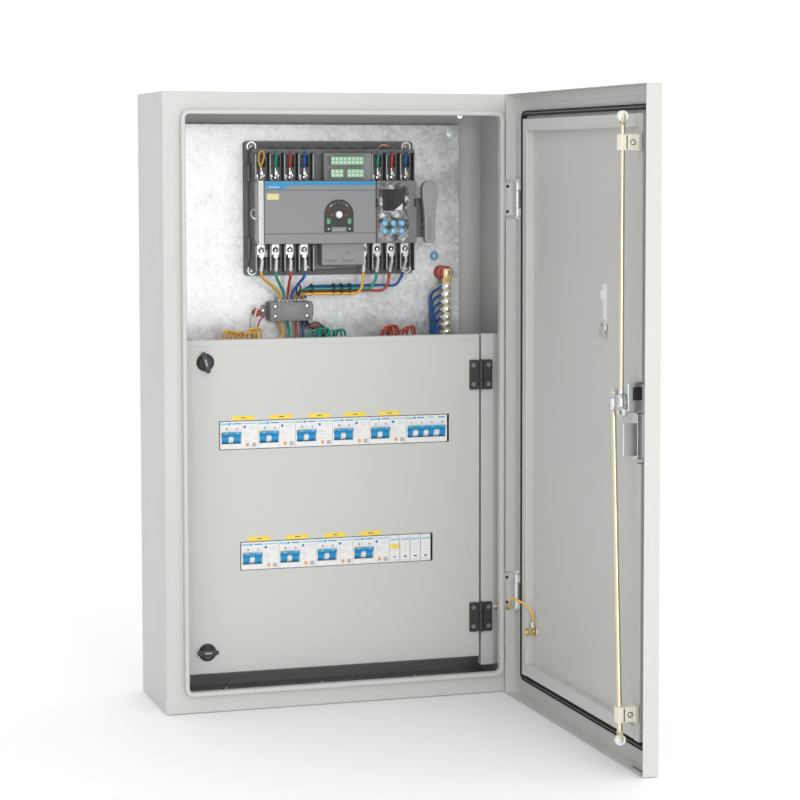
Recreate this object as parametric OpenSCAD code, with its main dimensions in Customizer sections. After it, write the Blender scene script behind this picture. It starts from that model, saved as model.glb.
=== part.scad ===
// Wall cabinet with an automatic transfer switch, two rows of breakers behind
// an inner door, and an outer door with a two-rod latch.
// Lengths in millimetres. The origin is the middle of the four wall-mounting
// holes on the back face; +Z is up and the cabinet's front faces -Y.

/* [Cabinet] */
// Outside width
cab_w = 600; // [540:10:760]
// Outside height
cab_h = 1000; // [960:10:1240]
// Outside depth of the body
cab_d = 200; // [190:5:260]
// Thickness of the body and door sheet
sheet = 1.5; // [1:0.25:2]
// From the outer side to the rain lip
lip_inset = 29; // [27:1:34]
// Width of the folded rain lip
lip_w = 7; // [6:1:9]
// How far the rain lip stands in front of the body
lip_proud = 12; // [9:0.5:12.5]
// Corner radius of the rain lip
lip_r = 14; // [11:1:20]
// Radius of the wall-mounting holes
wall_hole_r = 5; // [4:0.5:6]
// Wall-mounting holes, in from the sides
wall_inset_x = 38; // [34:1:45]
// Wall-mounting holes, in from the top and bottom
wall_inset_z = 32; // [28:1:40]
// Width of the cable opening in the floor
gland_w = 320; // [240:10:380]
// Depth of the cable opening in the floor
gland_d = 100; // [80:5:120]

/* [Mounting plate] */
// Gap from the cabinet side to the plate
plate_in_x = 46; // [42:1:60]
// Gap from the cabinet top and bottom to the plate
plate_in_z = 49; // [45:1:60]
// Plate thickness
plate_t = 2; // [1.5:0.5:3]
// From the back face to the plate's front
plate_off = 20; // [18:1:24]
// Depth of the plate's folded edges
plate_fold = 10; // [6:1:12]
// Radius of the plate's studs
stud_r = 4; // [3:0.5:5]

/* [Outer door] */
// Depth of the door from its outer skin to its rim
door_depth = 25; // [22:1:26]
// Gap between the rim and the cabinet front
rim_gap = 4; // [3.5:0.5:5]
// Hinge line, in from the cabinet side
pin_in = 10; // [9:0.5:11]
// Hinge line, in front of the cabinet front
pin_front = 21; // [20.5:0.5:22]
// How far the door stands open
door_open = 90; // [0:5:115]
// Radius of the hinge pins
hinge_pin_r = 2.5; // [2:0.5:3]
// Radius of the hinge knuckles
knuckle_r = 5; // [4.5:0.25:5.5]
// Height of a hinge
hinge_h = 58; // [48:2:66]
// Hinge centres from the top and bottom
hinge_from_end = 173; // [140:1:200]
// Width of the door seal
seal_w = 12; // [8:1:14]
// Seal stops this far short of the lip
seal_gap = 0.5; // [0.3:0.1:1]
// Width of the door's stiffening channels
channel_w = 20; // [16:1:22]
// Height of the stiffening channels
channel_h = 12.5; // [8:0.5:14]
// Channels, in from the door edge
channel_in = 42; // [41:1:46]

/* [Rod latch] */
// Height of the lock above the cabinet floor
lock_z = 540; // [480:5:580]
// Lock centre, in from the door's free edge
lock_in = 66; // [64:1:72]
// Radius of the cam's pin circle
cam_throw = 18; // [14:1:20]
// Radius of the lock shaft
lock_shaft_r = 6; // [5:0.5:7]
// Cam turn from free to locked
cam_turn = 90; // [70:5:90]
// Radius of the cam pins
cam_pin_r = 2.5; // [2:0.25:3]
// Rod radius
rod_r = 4; // [3:0.5:4.5]
// Rod line behind the cabinet front when the door is shut
rod_behind = 12; // [11:0.5:14]
// Rod guides from the top and bottom
guide_from_end = 84; // [76:1:100]
// Radius of the end rollers
roller_r = 8; // [6:0.5:9]
// Roller centres from the top and bottom, rods drawn in
roller_from_end = 46.5; // [46:0.5:52]

/* [Inner door] */
// Inner door face behind the cabinet front
face_behind = 37; // [36:0.5:42]
// Left edge of the inner door from the cabinet side
inner_left = 42.5; // [40:0.5:46]
// Line between the inner door and its post, from the right side
inner_right = 55; // [52:1:60]
// Bottom edge of the inner door
inner_bottom = 55; // [48:1:70]
// Height of the inner door
inner_h = 546; // [520:2:600]
// Depth of the inner door's folded edges
inner_fold = 15; // [10:1:16]
// Quarter-turn locks, in from the left edge
turn_in = 33; // [30:1:40]
// Quarter-turn locks, in from the top and bottom edges
turn_from_end = 36; // [30:1:44]
// Inner hinge leaf width
leaf_w = 20; // [16:1:24]
// Inner hinge height
leaf_h = 50; // [40:2:56]

/* [Breakers] */
// Width of one two-pole breaker with leakage unit
rcbo_w = 63; // [54:0.5:63]
// Width of the four-pole breaker and of the surge protector
wide_w = 72; // [68:0.5:72]
// Height of a breaker's front nose
nose_h = 45; // [43:0.5:45]
// Height of a breaker's body
body_h = 81; // [78:1:90]
// Middle of the upper row above the cabinet floor
row1_z = 445; // [420:5:470]
// Middle of the lower row above the cabinet floor
row2_z = 246; // [220:2:260]
// Left end of the upper row of breakers from the inner door's edge
row1_in = 56; // [50:1:70]
// Left end of the lower row
row2_in = 90; // [80:1:110]
// Window clearance round the breaker noses
window_gap = 1; // [0.8:0.1:2]
// Breakers in the lower row
row2_count = 4; // [3:1:4]

/* [Transfer switch] */
// Left edge of the switch from the cabinet side
ats_left = 173; // [150:1:200]
// Base width
ats_w = 294; // [280:2:310]
// Base height
ats_h = 225; // [215:1:240]
// Top of the base below the cabinet top
ats_from_top = 77; // [68:1:90]
// Distance between poles
pole_pitch = 24.5; // [23:0.5:25]
// From the plate to the front of the cover
ats_depth = 85; // [75:1:95]
// Controller button travel
button_travel = 1.5; // [1:0.25:2]
// Radius of the manual shaft
shaft_r = 6; // [5:0.5:7]
// Radius of the power leads
lead_r = 2.4; // [1.8:0.1:2.6]

/* [Hidden] */
$fn = 48;
clear = 0.05;                         // running clearance in a bore
in_t = cab_w - sheet;                 // inside face of the right wall
edge = lip_inset + lip_w;             // edge of the front opening
pin_t = cab_w - pin_in;
pin_y = -cab_d - pin_front;
skin_e = -rim_gap - door_depth;       // outer skin of the shut door
inner_skin_e = skin_e + sheet;
hinge_zs = [hinge_from_end, cab_h - hinge_from_end];
notch_h = hinge_h + 8;
gap_t = cab_w - inner_right;          // inner hinge line
gap_e = face_behind - 4.5;
inner_w = gap_t - 1.3 - inner_left;
inner_top = inner_bottom + inner_h;
turn_zs = [inner_bottom + turn_from_end, inner_top - turn_from_end];
leaf_zs = [inner_bottom + 68, inner_top - 68];
nose_e = face_behind - 2;
rail_e = nose_e + 60;
wall_e = cab_d - plate_off;           // front of the mounting plate
row1_t = inner_left + row1_in;
row2_t = inner_left + row2_in;
row1_w = 5 * rcbo_w + wide_w;
row2_w = row2_count * rcbo_w + wide_w;
toggle_drop = -5;                     // toggle centre below the row's middle
toggle_e = nose_e + 9;
toggle_lean = 32;
ats_bottom = cab_h - ats_from_top - ats_h;
ats_e = wall_e - ats_depth;
cover_z = ats_bottom + 55;
cover_h = 104;
left_pole = ats_left + 18;
right_pole = ats_left + 194;
panel_l = ats_left + 17;
ctrl_l = ats_left + 208;
shaft_t = ats_left + 143;
shaft_z = cover_z + 48;
half_turn = cam_turn / 2;
cam_rise = cam_throw * sin(half_turn);
cam_reach = cam_throw * (1 + cos(half_turn)) / 2;
rod_t = lock_in - cam_reach;          // upper rod, from the free edge
foot_t = rod_t;                       // lower rod at its guide
crank_t = lock_in + cam_reach;        // lower rod at the cam
foot_z = guide_from_end;
head_z = lock_z + cam_rise;
rod_lean = atan((crank_t - foot_t) / (head_z - foot_z));
block_l = ats_left + 38;
block_w = 73;
block_z = ats_bottom - 76;
block_top = block_z + 32;
lead_top = ats_bottom + 28;           // where the leads leave the lower terminals
bar_t = 520;
bar_z = 588;
bar_screws = 7;
bar_pitch = 13;
bar_face = wall_e - 42;              // front of the neutral bar
lead_gap = 1.2;                       // the wires' ends stop this short of what they enter
toggle_t = 2.5;
toggle_w = 31.5;
ctrl_w = 69;
lock_top = lock_z + 30;
lock_low = lock_z - 85;
slot_clear = 0.7;                     // play of a cam pin in its slot
slot_half = cam_throw * (1 - cos(half_turn)) / 2 + cam_pin_r + 1.8;
head_gap = 6.728;                     // between the two rod heads
head_half = cam_reach - head_gap / 2;
fork_w = 12;
lower_len = (head_z - foot_z) / cos(rod_lean);
lower_end = roller_from_end - foot_z;
leaf_t = cab_w - edge + lip_w / 2 + seal_w / 2 + 1.5;   // just outside the seal
bag_t = 190;
bag_z = 620;
earth_t = cab_w - channel_in - channel_w - 22;
earth_z = 118;
earth_r = 3;
inner_pin_r = 1.6;
inner_knuckle_r = 4;
peg_r = 4;                            // peg of the stowed handle
handle_t = ats_left + ats_w - 2;

// ---- helpers ----

// From here on: t from the left side, e behind the cabinet front, z above the floor.
module in_cabinet() translate([-cab_w / 2, 0, -cab_h / 2]) children();

// A box by its ranges in t, e and z.
module box(t, e, z)
    translate([t[0], e[0] - cab_d, z[0]]) cube([t[1] - t[0], e[1] - e[0], z[1] - z[0]]);

// A round bar along the depth, from e0 to e1.
module bar_y(t, z, r, e0, e1, sides = 48)
    translate([t, e0 - cab_d, z]) rotate([-90, 0, 0]) cylinder(r = r, h = e1 - e0, $fn = sides);

// A round bar up the height.
module bar_z_at(t, e, r, z0, z1) translate([t, e - cab_d, z0]) cylinder(r = r, h = z1 - z0);

// A round bar across the width.
module bar_x(t0, t1, e, z, r) translate([t0, e - cab_d, z]) rotate([0, 90, 0]) cylinder(r = r, h = t1 - t0);

// A plate with round corners, standing in the t-z plane.
module round_plate(t, e, z, r) translate([t[0], e[1] - cab_d, z[0]]) rotate([90, 0, 0])
    linear_extrude(e[1] - e[0]) union() {
        translate([r, 0]) square([t[1] - t[0] - 2 * r, z[1] - z[0]]);
        translate([0, r]) square([t[1] - t[0], z[1] - z[0] - 2 * r]);
        for (a = [r, t[1] - t[0] - r], b = [r, z[1] - z[0] - r]) translate([a, b]) circle(r);
    }

// A round-cornered ring between two insets from the cabinet outline.
module ring(a, b, e, r) difference() {
    round_plate([a, cab_w - a], e, [a, cab_h - a], r);
    round_plate([b, cab_w - b], [e[0] - 1, e[1] + 1], [b, cab_h - b], r - (b - a));
}

// Turns the shut outer door's pieces to where the door stands.
module on_outer_door() in_cabinet() translate([pin_t, pin_y, 0]) rotate([0, 0, door_open])
    translate([-pin_t, -pin_y, 0]) children();

// A tube through a list of points, with rings of eight sides.
function unit(v) = v / norm(v);
function tangent(p, i) = i == 0 ? unit(p[1] - p[0])
    : i == len(p) - 1 ? unit(p[i] - p[i - 1])
    : unit(unit(p[i] - p[i - 1]) + unit(p[i + 1] - p[i]));
function spline(a, b, c, d, u) = 0.5 * (2 * b + u * (c - a) + u * u * (2 * a - 5 * b + 4 * c - d)
    + u * u * u * (3 * b - a - 3 * c + d));
function curve(p, n) = concat([for (i = [0:len(p) - 2], k = [0:n - 1])
    spline(p[max(i - 1, 0)], p[i], p[i + 1], p[min(i + 2, len(p) - 1)], k / n)], [p[len(p) - 1]]);
module wire(route, r, steps = 4) {
    p = curve([for (q = route) [q[0], q[1] - cab_d, q[2]]], steps);
    n = len(p);
    ref = [0.31, 0.83, 0.46];
    rings = [for (i = [0:n - 1]) let(d = tangent(p, i), s = unit(cross(d, ref)), u = cross(s, d))
        for (k = [0:7]) p[i] + r * (cos(45 * k) * s + sin(45 * k) * u)];
    sides = [for (i = [0:n - 2], k = [0:7]) let(m = (k + 1) % 8)
        [8 * i + k, 8 * i + m, 8 * i + 8 + m, 8 * i + 8 + k]];
    polyhedron(rings, concat(sides, [[for (k = [7:-1:0]) k]], [[for (k = [0:7]) 8 * n - 8 + k]]));
}

// ---- cabinet ----

module cabinet_shell() color([0.82, 0.82, 0.8]) in_cabinet() difference() {
    union() {
        difference() {
            box([0, cab_w], [0, cab_d], [0, cab_h]);
            box([sheet, in_t], [sheet, cab_d - sheet], [sheet, cab_h - sheet]);
            box([lip_inset + sheet, cab_w - lip_inset - sheet], [-1, sheet + 1],
                [lip_inset + sheet, cab_h - lip_inset - sheet]);
        }
        ring(lip_inset, lip_inset + sheet, [-lip_proud, sheet], lip_r);
        ring(lip_inset, edge, [-lip_proud, sheet - lip_proud], lip_r);
        ring(edge - sheet, edge, [-lip_proud, sheet], lip_r - lip_w + sheet);
        corner_fill();
    }
    for (t = [wall_inset_x, cab_w - wall_inset_x], z = [wall_inset_z, cab_h - wall_inset_z])
        bar_y(t, z, wall_hole_r, cab_d - sheet - 1, cab_d + 1);
    box([(cab_w - gland_w) / 2, (cab_w + gland_w) / 2], [(cab_d - gland_d) / 2, (cab_d + gland_d) / 2],
        [-1, sheet + 1]);
}

// Closes the front sheet to the lip's round corners.
module corner_fill() difference() {
    box([lip_inset, cab_w - lip_inset], [0, sheet], [lip_inset, cab_h - lip_inset]);
    round_plate([lip_inset, cab_w - lip_inset], [-1, sheet + 1], [lip_inset, cab_h - lip_inset], lip_r);
}

module gland_plate() color([0.75, 0.75, 0.74]) in_cabinet() {
    l = (cab_w - gland_w) / 2 - 15;
    f = (cab_d - gland_d) / 2 - 12;
    box([l, cab_w - l], [f, cab_d - f], [sheet, sheet + 2]);
    for (t = [l + 8, cab_w / 2, cab_w - l - 8], e = [f + 6, cab_d - f - 6])
        translate([t, e - cab_d, sheet + 2]) cylinder(r = 4, h = 2.4);
}

module mounting_plate() color([0.72, 0.74, 0.74]) in_cabinet() {
    t = [plate_in_x, cab_w - plate_in_x];
    z = [plate_in_z, cab_h - plate_in_z];
    back = wall_e + plate_t + plate_fold;
    difference() {
        union() {
            box(t, [wall_e, wall_e + plate_t], z);
            box([t[0], t[0] + plate_t], [wall_e, back], z);
            box([t[1] - plate_t, t[1]], [wall_e, back], z);
            box(t, [wall_e, back], [z[0], z[0] + plate_t]);
            box(t, [wall_e, back], [z[1] - plate_t, z[1]]);
        }
        at_studs() bar_y(0, 0, stud_r + 0.4, wall_e - 1, wall_e + plate_t + 1);
    }
}

module at_studs() for (t = [plate_in_x + 11, cab_w - plate_in_x - 13],
    z = [plate_in_z + 13, cab_h - plate_in_z - 13])
    translate([t, 0, z]) children();

// Weld studs with spacers behind the plate and hexagon nuts in front.
module plate_fasteners() color([0.78, 0.77, 0.72]) in_cabinet() at_studs() {
    bar_y(0, 0, stud_r, wall_e - 10, cab_d - sheet);
    difference() {
        bar_y(0, 0, stud_r + 3, wall_e + plate_t, cab_d - sheet);
        bar_y(0, 0, stud_r + clear, wall_e, cab_d);
    }
    difference() {
        union() {
            bar_y(0, 0, stud_r + 3.4, wall_e - 8.1, wall_e - 1.6, 6);
            bar_y(0, 0, stud_r + 5, wall_e - 1.6, wall_e);
        }
        bar_y(0, 0, stud_r + clear, wall_e - 9, wall_e + 1);
    }
}

// Posts, latch keeper, cross rails and stand-offs that carry the rails and inner door.
module inner_frame() color([0.83, 0.83, 0.81]) in_cabinet() {
    post_l = gap_t + 1.3;
    difference() {
        union() {
            box([post_l, in_t], [face_behind, face_behind + sheet], [edge + 4, inner_top]);
            box([post_l, post_l + sheet], [face_behind, face_behind + inner_fold], [edge + 4, inner_top]);
            box([post_l, in_t], [face_behind, face_behind + inner_fold], [inner_top - sheet, inner_top]);
        }
        for (z = leaf_zs, s = [-1, 1]) bar_y(gap_t + leaf_w * 0.6, z + s * leaf_h * 0.34, 1.7, 0, 60);
    }
    box([sheet, inner_left + 8], [face_behind + inner_fold + 4, face_behind + inner_fold + 4 + sheet],
        [edge + 4, inner_top]);
    box([sheet, sheet * 2], [face_behind + inner_fold - 14, face_behind + inner_fold + 4],
        [edge + 4, inner_top]);
    for (z = [row1_z, row2_z], t = [row1_t - 14, row1_t + row1_w + 14])
        difference() {
            box([t - 9, t + 9], [rail_e + 7.5, wall_e], [z - 12, z + 12]);
            box([t - 7, t + 10], [rail_e + 9.5, wall_e - 2], [z - 13, z + 13]);
        }
}

// Top-hat rails, 35 mm wide.
module din_rails() color([0.76, 0.76, 0.7]) in_cabinet() for (z = [row1_z, row2_z])
    translate([row1_t - 30, rail_e - cab_d, z]) rotate([90, 0, 90]) linear_extrude(row1_w + 60) polygon([
        [0, 17.5], [1, 17.5], [1, 12.5], [7.5, 12.5], [7.5, -12.5], [1, -12.5], [1, -17.5], [0, -17.5],
        [0, -11.5], [6.5, -11.5], [6.5, 11.5], [0, 11.5]]);

// ---- breakers ----

// Side outline of a modular device: wide body, 45 mm nose, jaws behind the rail's edges.
module device(t, z, w) translate([t + 0.15, rail_e - cab_d, z]) rotate([90, 0, 90]) linear_extrude(w - 0.3)
    polygon([[4, 24], [4, 18.2], [-0.1, 18.2], [-0.1, -18.2], [4, -18.2], [4, -24], [-1, -body_h / 2],
        [-44, -body_h / 2], [-44, -nose_h / 2], [nose_e - rail_e, -nose_h / 2], [nose_e - rail_e, nose_h / 2],
        [-44, nose_h / 2], [-44, body_h / 2], [-1, body_h / 2]]);

// Pocket in the nose that the toggle drum turns in.
module toggle_pocket(t, z, w) {
    bar_x(t, t + w, toggle_e, z + toggle_drop, 9);
    box([t, t + w], [nose_e - 1, toggle_e], [z + toggle_drop - 9, z + toggle_drop + 9]);
}

// A drum with a raised grip, leaning up when the breaker is on.
module toggle(t, z, w) color([0.1, 0.45, 0.75]) in_cabinet() {
    bar_x(t, t + w, toggle_e, z + toggle_drop, 8.3);
    translate([t, toggle_e - cab_d, z + toggle_drop]) rotate([-toggle_lean, 0, 0])
        translate([0, -17, -2.2]) cube([w, 14, 4.4]);
}

function rcbo_at(i) = i < 5 ? [row1_t + i * rcbo_w, row1_z] : [row2_t + (i - 5) * rcbo_w, row2_z];
module rcbo_housings() color([0.93, 0.93, 0.92]) in_cabinet() for (i = [0:4 + row2_count]) {
    p = rcbo_at(i);
    difference() {
        device(p[0], p[1], rcbo_w);
        toggle_pocket(p[0] + toggle_t, p[1], toggle_w + 1);
        for (s = [11, 26]) bar_y(p[0] + s, p[1] + body_h / 2 - 9, 3, rail_e - 45, rail_e - 38);
    }
}

module mcb_housing() color([0.93, 0.93, 0.92]) in_cabinet() difference() {
    device(row1_t + 5 * rcbo_w, row1_z, wide_w);
    toggle_pocket(row1_t + 5 * rcbo_w + 3, row1_z, wide_w - 6);
}

module surge_protector() color([0.93, 0.93, 0.92]) in_cabinet() difference() {
    l = row2_t + row2_count * rcbo_w;
    device(l, row2_z, wide_w);
    for (k = [1:3]) box([l + k * wide_w / 4 - 0.3, l + k * wide_w / 4 + 0.3], [nose_e - 1, nose_e + 6],
        [row2_z - 23, row2_z + 23]);
}

module rcbo_toggle(i) toggle(rcbo_at(i)[0] + toggle_t + 0.5, rcbo_at(i)[1], toggle_w);
module mcb_toggle() toggle(row1_t + 5 * rcbo_w + 3.5, row1_z, wide_w - 7);

// ---- distribution ----

module neutral_bar() color([0.86, 0.8, 0.62]) in_cabinet() {
    screws = [for (k = [0:bar_screws - 1]) bar_z + 10 + bar_pitch * k];
    difference() {
        box([bar_t - 7, bar_t + 7], [bar_face, bar_face + 6], [bar_z - 20, bar_z + 119]);
        for (z = screws) bar_y(bar_t, z, 2.5 + clear, bar_face - 1, bar_face + 7);
        for (z = [bar_z - 12, bar_z + 111]) bar_y(bar_t, z, 4 + clear, bar_face - 1, bar_face + 7);
    }
    for (z = screws) {
        bar_y(bar_t, z, 2.5, bar_face, bar_face + 12);
        bar_y(bar_t, z, 4.6, bar_face - 5, bar_face);
    }
}

// Waisted stand-off insulators.
module bar_insulators() color([0.72, 0.18, 0.12]) in_cabinet() for (z = [bar_z - 12, bar_z + 111]) {
    bar_y(bar_t, z, 12, wall_e - 10, wall_e);
    bar_y(bar_t, z, 9.5, wall_e - 26, wall_e - 10);
    bar_y(bar_t, z, 12, bar_face + 6, wall_e - 26);
    bar_y(bar_t, z, 4, bar_face, bar_face + 6);
}

module terminal_block() color([0.42, 0.42, 0.43]) in_cabinet() difference() {
    union() {
        box([block_l, block_l + block_w], [wall_e - 34, wall_e], [block_z, block_top]);
        box([block_l - 9, block_l + block_w + 9], [wall_e - 5, wall_e], [block_z + 6, block_z + 26]);
    }
    for (t = [block_l + 8, block_l + block_w - 8], z = [block_z + 9, block_z + 23])
        bar_y(t, z, 3, wall_e - 35, wall_e - 29);
}

// Four phase leads from each side of the switch to the terminal block, and four
// feeders from the block down to the upper row of breakers. Points are [t, e, z].
module power_wires() color([0.85, 0.5, 0.15]) in_cabinet() {
    for (k = [0:3]) {
        t = left_pole + k * pole_pitch;
        b = block_l + 17 + 7 * k;
        wire([[t, 120, lead_top], [t, 124, lead_top - 26], [(t + b) / 2, 138, lead_top - 42],
            [b, 150, block_top + 14], [b, 156, block_top + lead_gap]], lead_r);
        r = right_pole + k * pole_pitch;
        c = block_l + 45 + 6 * k;
        e = 128 + 6 * k;
        z = block_top + [14, 22, 18, 26][k];
        wire([[r, 120, lead_top], [r, e, lead_top - 30], [r - 2, e, z + 12], [r - 12, e, z],
            [r - 40, e, z], [c + 50, e, z], [c + 16, e, z], [c + 3, (e + 156) / 2, z - 3],
            [c, 156, z - 8], [c, 156, block_top + lead_gap]], lead_r);
        f = b + 8 * k;
        g = row1_t + 30 + 60 * k;
        top = row1_z + body_h / 2;
        wire([[f, 160, block_z - lead_gap], [f, 158, block_z - 30], [g, 140, inner_top - 41],
            [g, 104, top + 32.5], [g, 79, top + 14], [g, 76, top + lead_gap]], lead_r);
    }
    l = bar_t - 7 - lead_gap;
    for (k = [0:bar_screws - 1]) {
        z = bar_z + 10 + bar_pitch * k;
        e = bar_face + 2 + 5.2 * k;
        wire([[l, bar_face + 3, z], [l - 4, bar_face + 3, z - 1], [l - 9.8 - 0.2 * k, e, bar_z - 2 + 12 * k],
            [l - 10.8, e, bar_z - 20 + 6 * k], [l - 10.8, e, bar_z - 60]], 2.2);
    }
}

// Thin sensing leads over the switch's upper terminals.
module control_wires() color([0.2, 0.5, 0.6]) in_cabinet()
    for (k = [0:3], g = [left_pole, right_pole]) if (g == left_pole || k > 0) {
        t = g + k * pole_pitch;
        z = cover_z + cover_h;
        wire([[t - 2, 118, z + 22], [t - 3, 112, z + 34], [t, 116, z + 48], [t + 3, 124, z + 40],
            [t + 3, 129, z + 24]], 1.1, 3);
    }

// ---- transfer switch ----

module ats_base() color([0.16, 0.16, 0.17]) in_cabinet() {
    t = [ats_left, ats_left + ats_w];
    z = [ats_bottom, ats_bottom + ats_h];
    difference() {
        union() {
            round_plate(t, [wall_e - 12, wall_e], z, 6);
            box([t[0] + 6, t[1] - 8], [ats_e + 36, wall_e - 12], [z[0] + 14, z[1] - 13]);
            box([t[1] - 9, t[1] + 12], [ats_e + 30, wall_e - 12], [cover_z + 8, cover_z + cover_h - 30]);
        }
        for (a = [t[0] + 12, t[1] - 12], b = [z[0] + 9, z[1] - 9]) bar_y(a, b, 3, wall_e - 13, wall_e + 1);
        for (g = [left_pole, right_pole], k = [0:3], b = [z[0] + 13, cover_z + cover_h + 23])
            box([g + k * pole_pitch - 9, g + k * pole_pitch + 9], [ats_e + 35, ats_e + 50], [b, b + 19]);
        bar_y(handle_t + 8, cover_z + 31, peg_r + 0.3, ats_e + 29, ats_e + 48);
    }
    for (a = [t[0] + 12, t[1] - 12], b = [z[0] + 9, z[1] - 9]) bar_y(a, b, 6, wall_e - 16, wall_e - 12);
}

module ats_housing() color([0.42, 0.43, 0.44]) in_cabinet() difference() {
    union() {
        box([panel_l, ctrl_l - 0.4], [ats_e, ats_e + 36], [cover_z, cover_z + cover_h]);
        box([panel_l - 9, panel_l], [ats_e + 6, ats_e + 36], [cover_z - 0.5, cover_z + cover_h + 0.5]);
        box([ats_left + 122, right_pole + 0.5 * pole_pitch - 2], [ats_e + 14, ats_e + 36],
            [cover_z + cover_h, cover_z + cover_h + 46]);
    }
    bar_y(shaft_t, shaft_z, shaft_r + clear, ats_e - 1, ats_e + 40);
    for (z = [cover_z + 16, cover_z + cover_h - 16])
        box([panel_l + 4, ctrl_l - 6], [ats_e - 1, ats_e + 0.8], [z, z + 1.5]);
}

// Plated terminal pads with their screws, four poles a side, top and bottom.
module ats_terminals() color([0.75, 0.74, 0.7]) in_cabinet()
    for (g = [left_pole, right_pole], k = [0:3], b = [ats_bottom + 34, cover_z + cover_h + 1])
        if (g == left_pole || k > 0 || b < cover_z) {
            t = g + k * pole_pitch;
            box([t - 7, t + 7], [ats_e + 32, ats_e + 36], [b, b + 20]);
            bar_y(t, b + 10, 4.5, ats_e + 26, ats_e + 32);
        }

module phase_barriers() color([0.12, 0.12, 0.13]) in_cabinet()
    for (g = [left_pole, right_pole], k = [0:4], b = [ats_bottom + 8, cover_z + cover_h + 0.5])
        if (g == left_pole || k > 0) {
            t = g + (k - 0.5) * pole_pitch;
            box([t - 0.8, t + 0.8], [ats_e + 16, ats_e + 35.9], [b, b + 46]);
        }

module signal_terminals() color([0.35, 0.62, 0.45]) in_cabinet()
    for (b = [0, 21]) difference() {
        box([ats_left + 130, ats_left + 188], [ats_e + 4, ats_e + 13.9], [cover_z + cover_h + 5 + b,
            cover_z + cover_h + 20 + b]);
        for (k = [0:7])
            bar_y(ats_left + 134.5 + 7 * k, cover_z + cover_h + 12.5 + b, 2, ats_e + 3, ats_e + 10);
    }

module aux_block() color([0.4, 0.41, 0.42]) in_cabinet() {
    box([ats_left + 116, right_pole - 5], [ats_e + 8, ats_e + 24], [cover_z - 36, cover_z]);
    box([ats_left + 116, right_pole - 12], [ats_e + 24, ats_e + 36], [cover_z - 36, cover_z]);
}

// Arched dial plate round the manual shaft.
module indicator_plate() color([0.06, 0.06, 0.06]) in_cabinet() difference() {
    translate([shaft_t, ats_e - cab_d, shaft_z]) rotate([90, 0, 0]) linear_extrude(1.5) union() {
        circle(25);
        translate([-25, -29]) square([50, 29]);
    }
    bar_y(shaft_t, shaft_z, shaft_r + 1, ats_e - 3, ats_e + 1);
}

module ats_spindle() color([0.8, 0.8, 0.78]) in_cabinet() difference() {
    bar_y(shaft_t, shaft_z, shaft_r, ats_e - 4, ats_e + 34);
    bar_y(shaft_t, shaft_z, 3.2, ats_e - 5, ats_e + 8, 6);
}

function button_at(i) = [ctrl_l + 14 + 15 * (i % 3), cover_z + 33 - 13 * floor(i / 3)];
module ats_controller() color([0.2, 0.2, 0.22]) in_cabinet() difference() {
    box([ctrl_l, ctrl_l + ctrl_w], [ats_e - 3, ats_e + 36], [cover_z, cover_z + cover_h]);
    box([ctrl_l + 9, ctrl_l + 49], [ats_e - 4, ats_e - 1.5], [cover_z + 53, cover_z + 91]);
    for (i = [0:5]) bar_y(button_at(i)[0], button_at(i)[1], 5 + clear, ats_e - 4, ats_e + 6);
}

module controller_button(i) color([0.25, 0.65, 0.9]) in_cabinet()
    bar_y(button_at(i)[0], button_at(i)[1], 5, ats_e - 5.5, ats_e + 6 - button_travel - 0.5);

// Manual crank handle, stowed at the switch's right side.
module ats_handle() color([0.5, 0.51, 0.52]) in_cabinet() {
    z = cover_z - 1;
    box([handle_t, handle_t + 20], [ats_e + 4, ats_e + 16], [z, z + 70]);
    bar_y(handle_t + 13, z + 91, 14, ats_e + 2, ats_e + 16);
    box([handle_t, handle_t + 24], [ats_e + 4, ats_e + 16], [z + 65, z + 92]);
    bar_y(handle_t + 8, cover_z + 31, peg_r, ats_e + 16, ats_e + 46);
}

// ---- outer door ----

module hinge_brackets() color([0.8, 0.8, 0.78]) in_cabinet() for (z = hinge_zs) {
    difference() {
        union() {
            bar_z_at(pin_t, -pin_front, knuckle_r, z - hinge_h / 4, z + hinge_h / 4);
            box([pin_t - knuckle_r + 0.5, pin_t - knuckle_r + 3.5], [-pin_front, -2],
                [z - hinge_h / 4, z + hinge_h / 4]);
            box([cab_w - lip_inset + 1, pin_t + 2], [-2, 0], [z - hinge_h / 2, z + hinge_h / 2]);
        }
        bar_z_at(pin_t, -pin_front, hinge_pin_r + clear, z - hinge_h, z + hinge_h);
    }
}

module hinge_pins() color([0.7, 0.7, 0.7]) in_cabinet() for (z = hinge_zs)
    bar_z_at(pin_t, -pin_front, hinge_pin_r, z - hinge_h / 2 - 2, z + hinge_h / 2 + 2);

module door_hinge_leaves() color([0.8, 0.8, 0.78]) on_outer_door() for (z = hinge_zs) difference() {
    union() {
        for (s = [-1, 1]) translate([0, 0, s * hinge_h * 3 / 8]) {
            bar_z_at(pin_t, -pin_front, knuckle_r, z - hinge_h / 8 + 0.3, z + hinge_h / 8 - 0.3);
            box([leaf_t, pin_t], [inner_skin_e, -pin_front - 2],
                [z - hinge_h / 8 + 0.3, z + hinge_h / 8 - 0.3]);
        }
        box([leaf_t, pin_t - knuckle_r - 0.6], [inner_skin_e, inner_skin_e + 3],
            [z - hinge_h / 2 + 0.3, z + hinge_h / 2 - 0.3]);
    }
    bar_z_at(pin_t, -pin_front, hinge_pin_r + clear, z - hinge_h, z + hinge_h);
}

// A hat-section stiffener, open to the door skin.
module channel(t, z) difference() {
    box(t, [inner_skin_e, inner_skin_e + channel_h], z);
    box([t[0] + 1.2, t[1] - 1.2], [inner_skin_e - 1, inner_skin_e + channel_h - 1.2],
        [z[0] + 1.2, z[1] - 1.2]);
}

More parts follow.
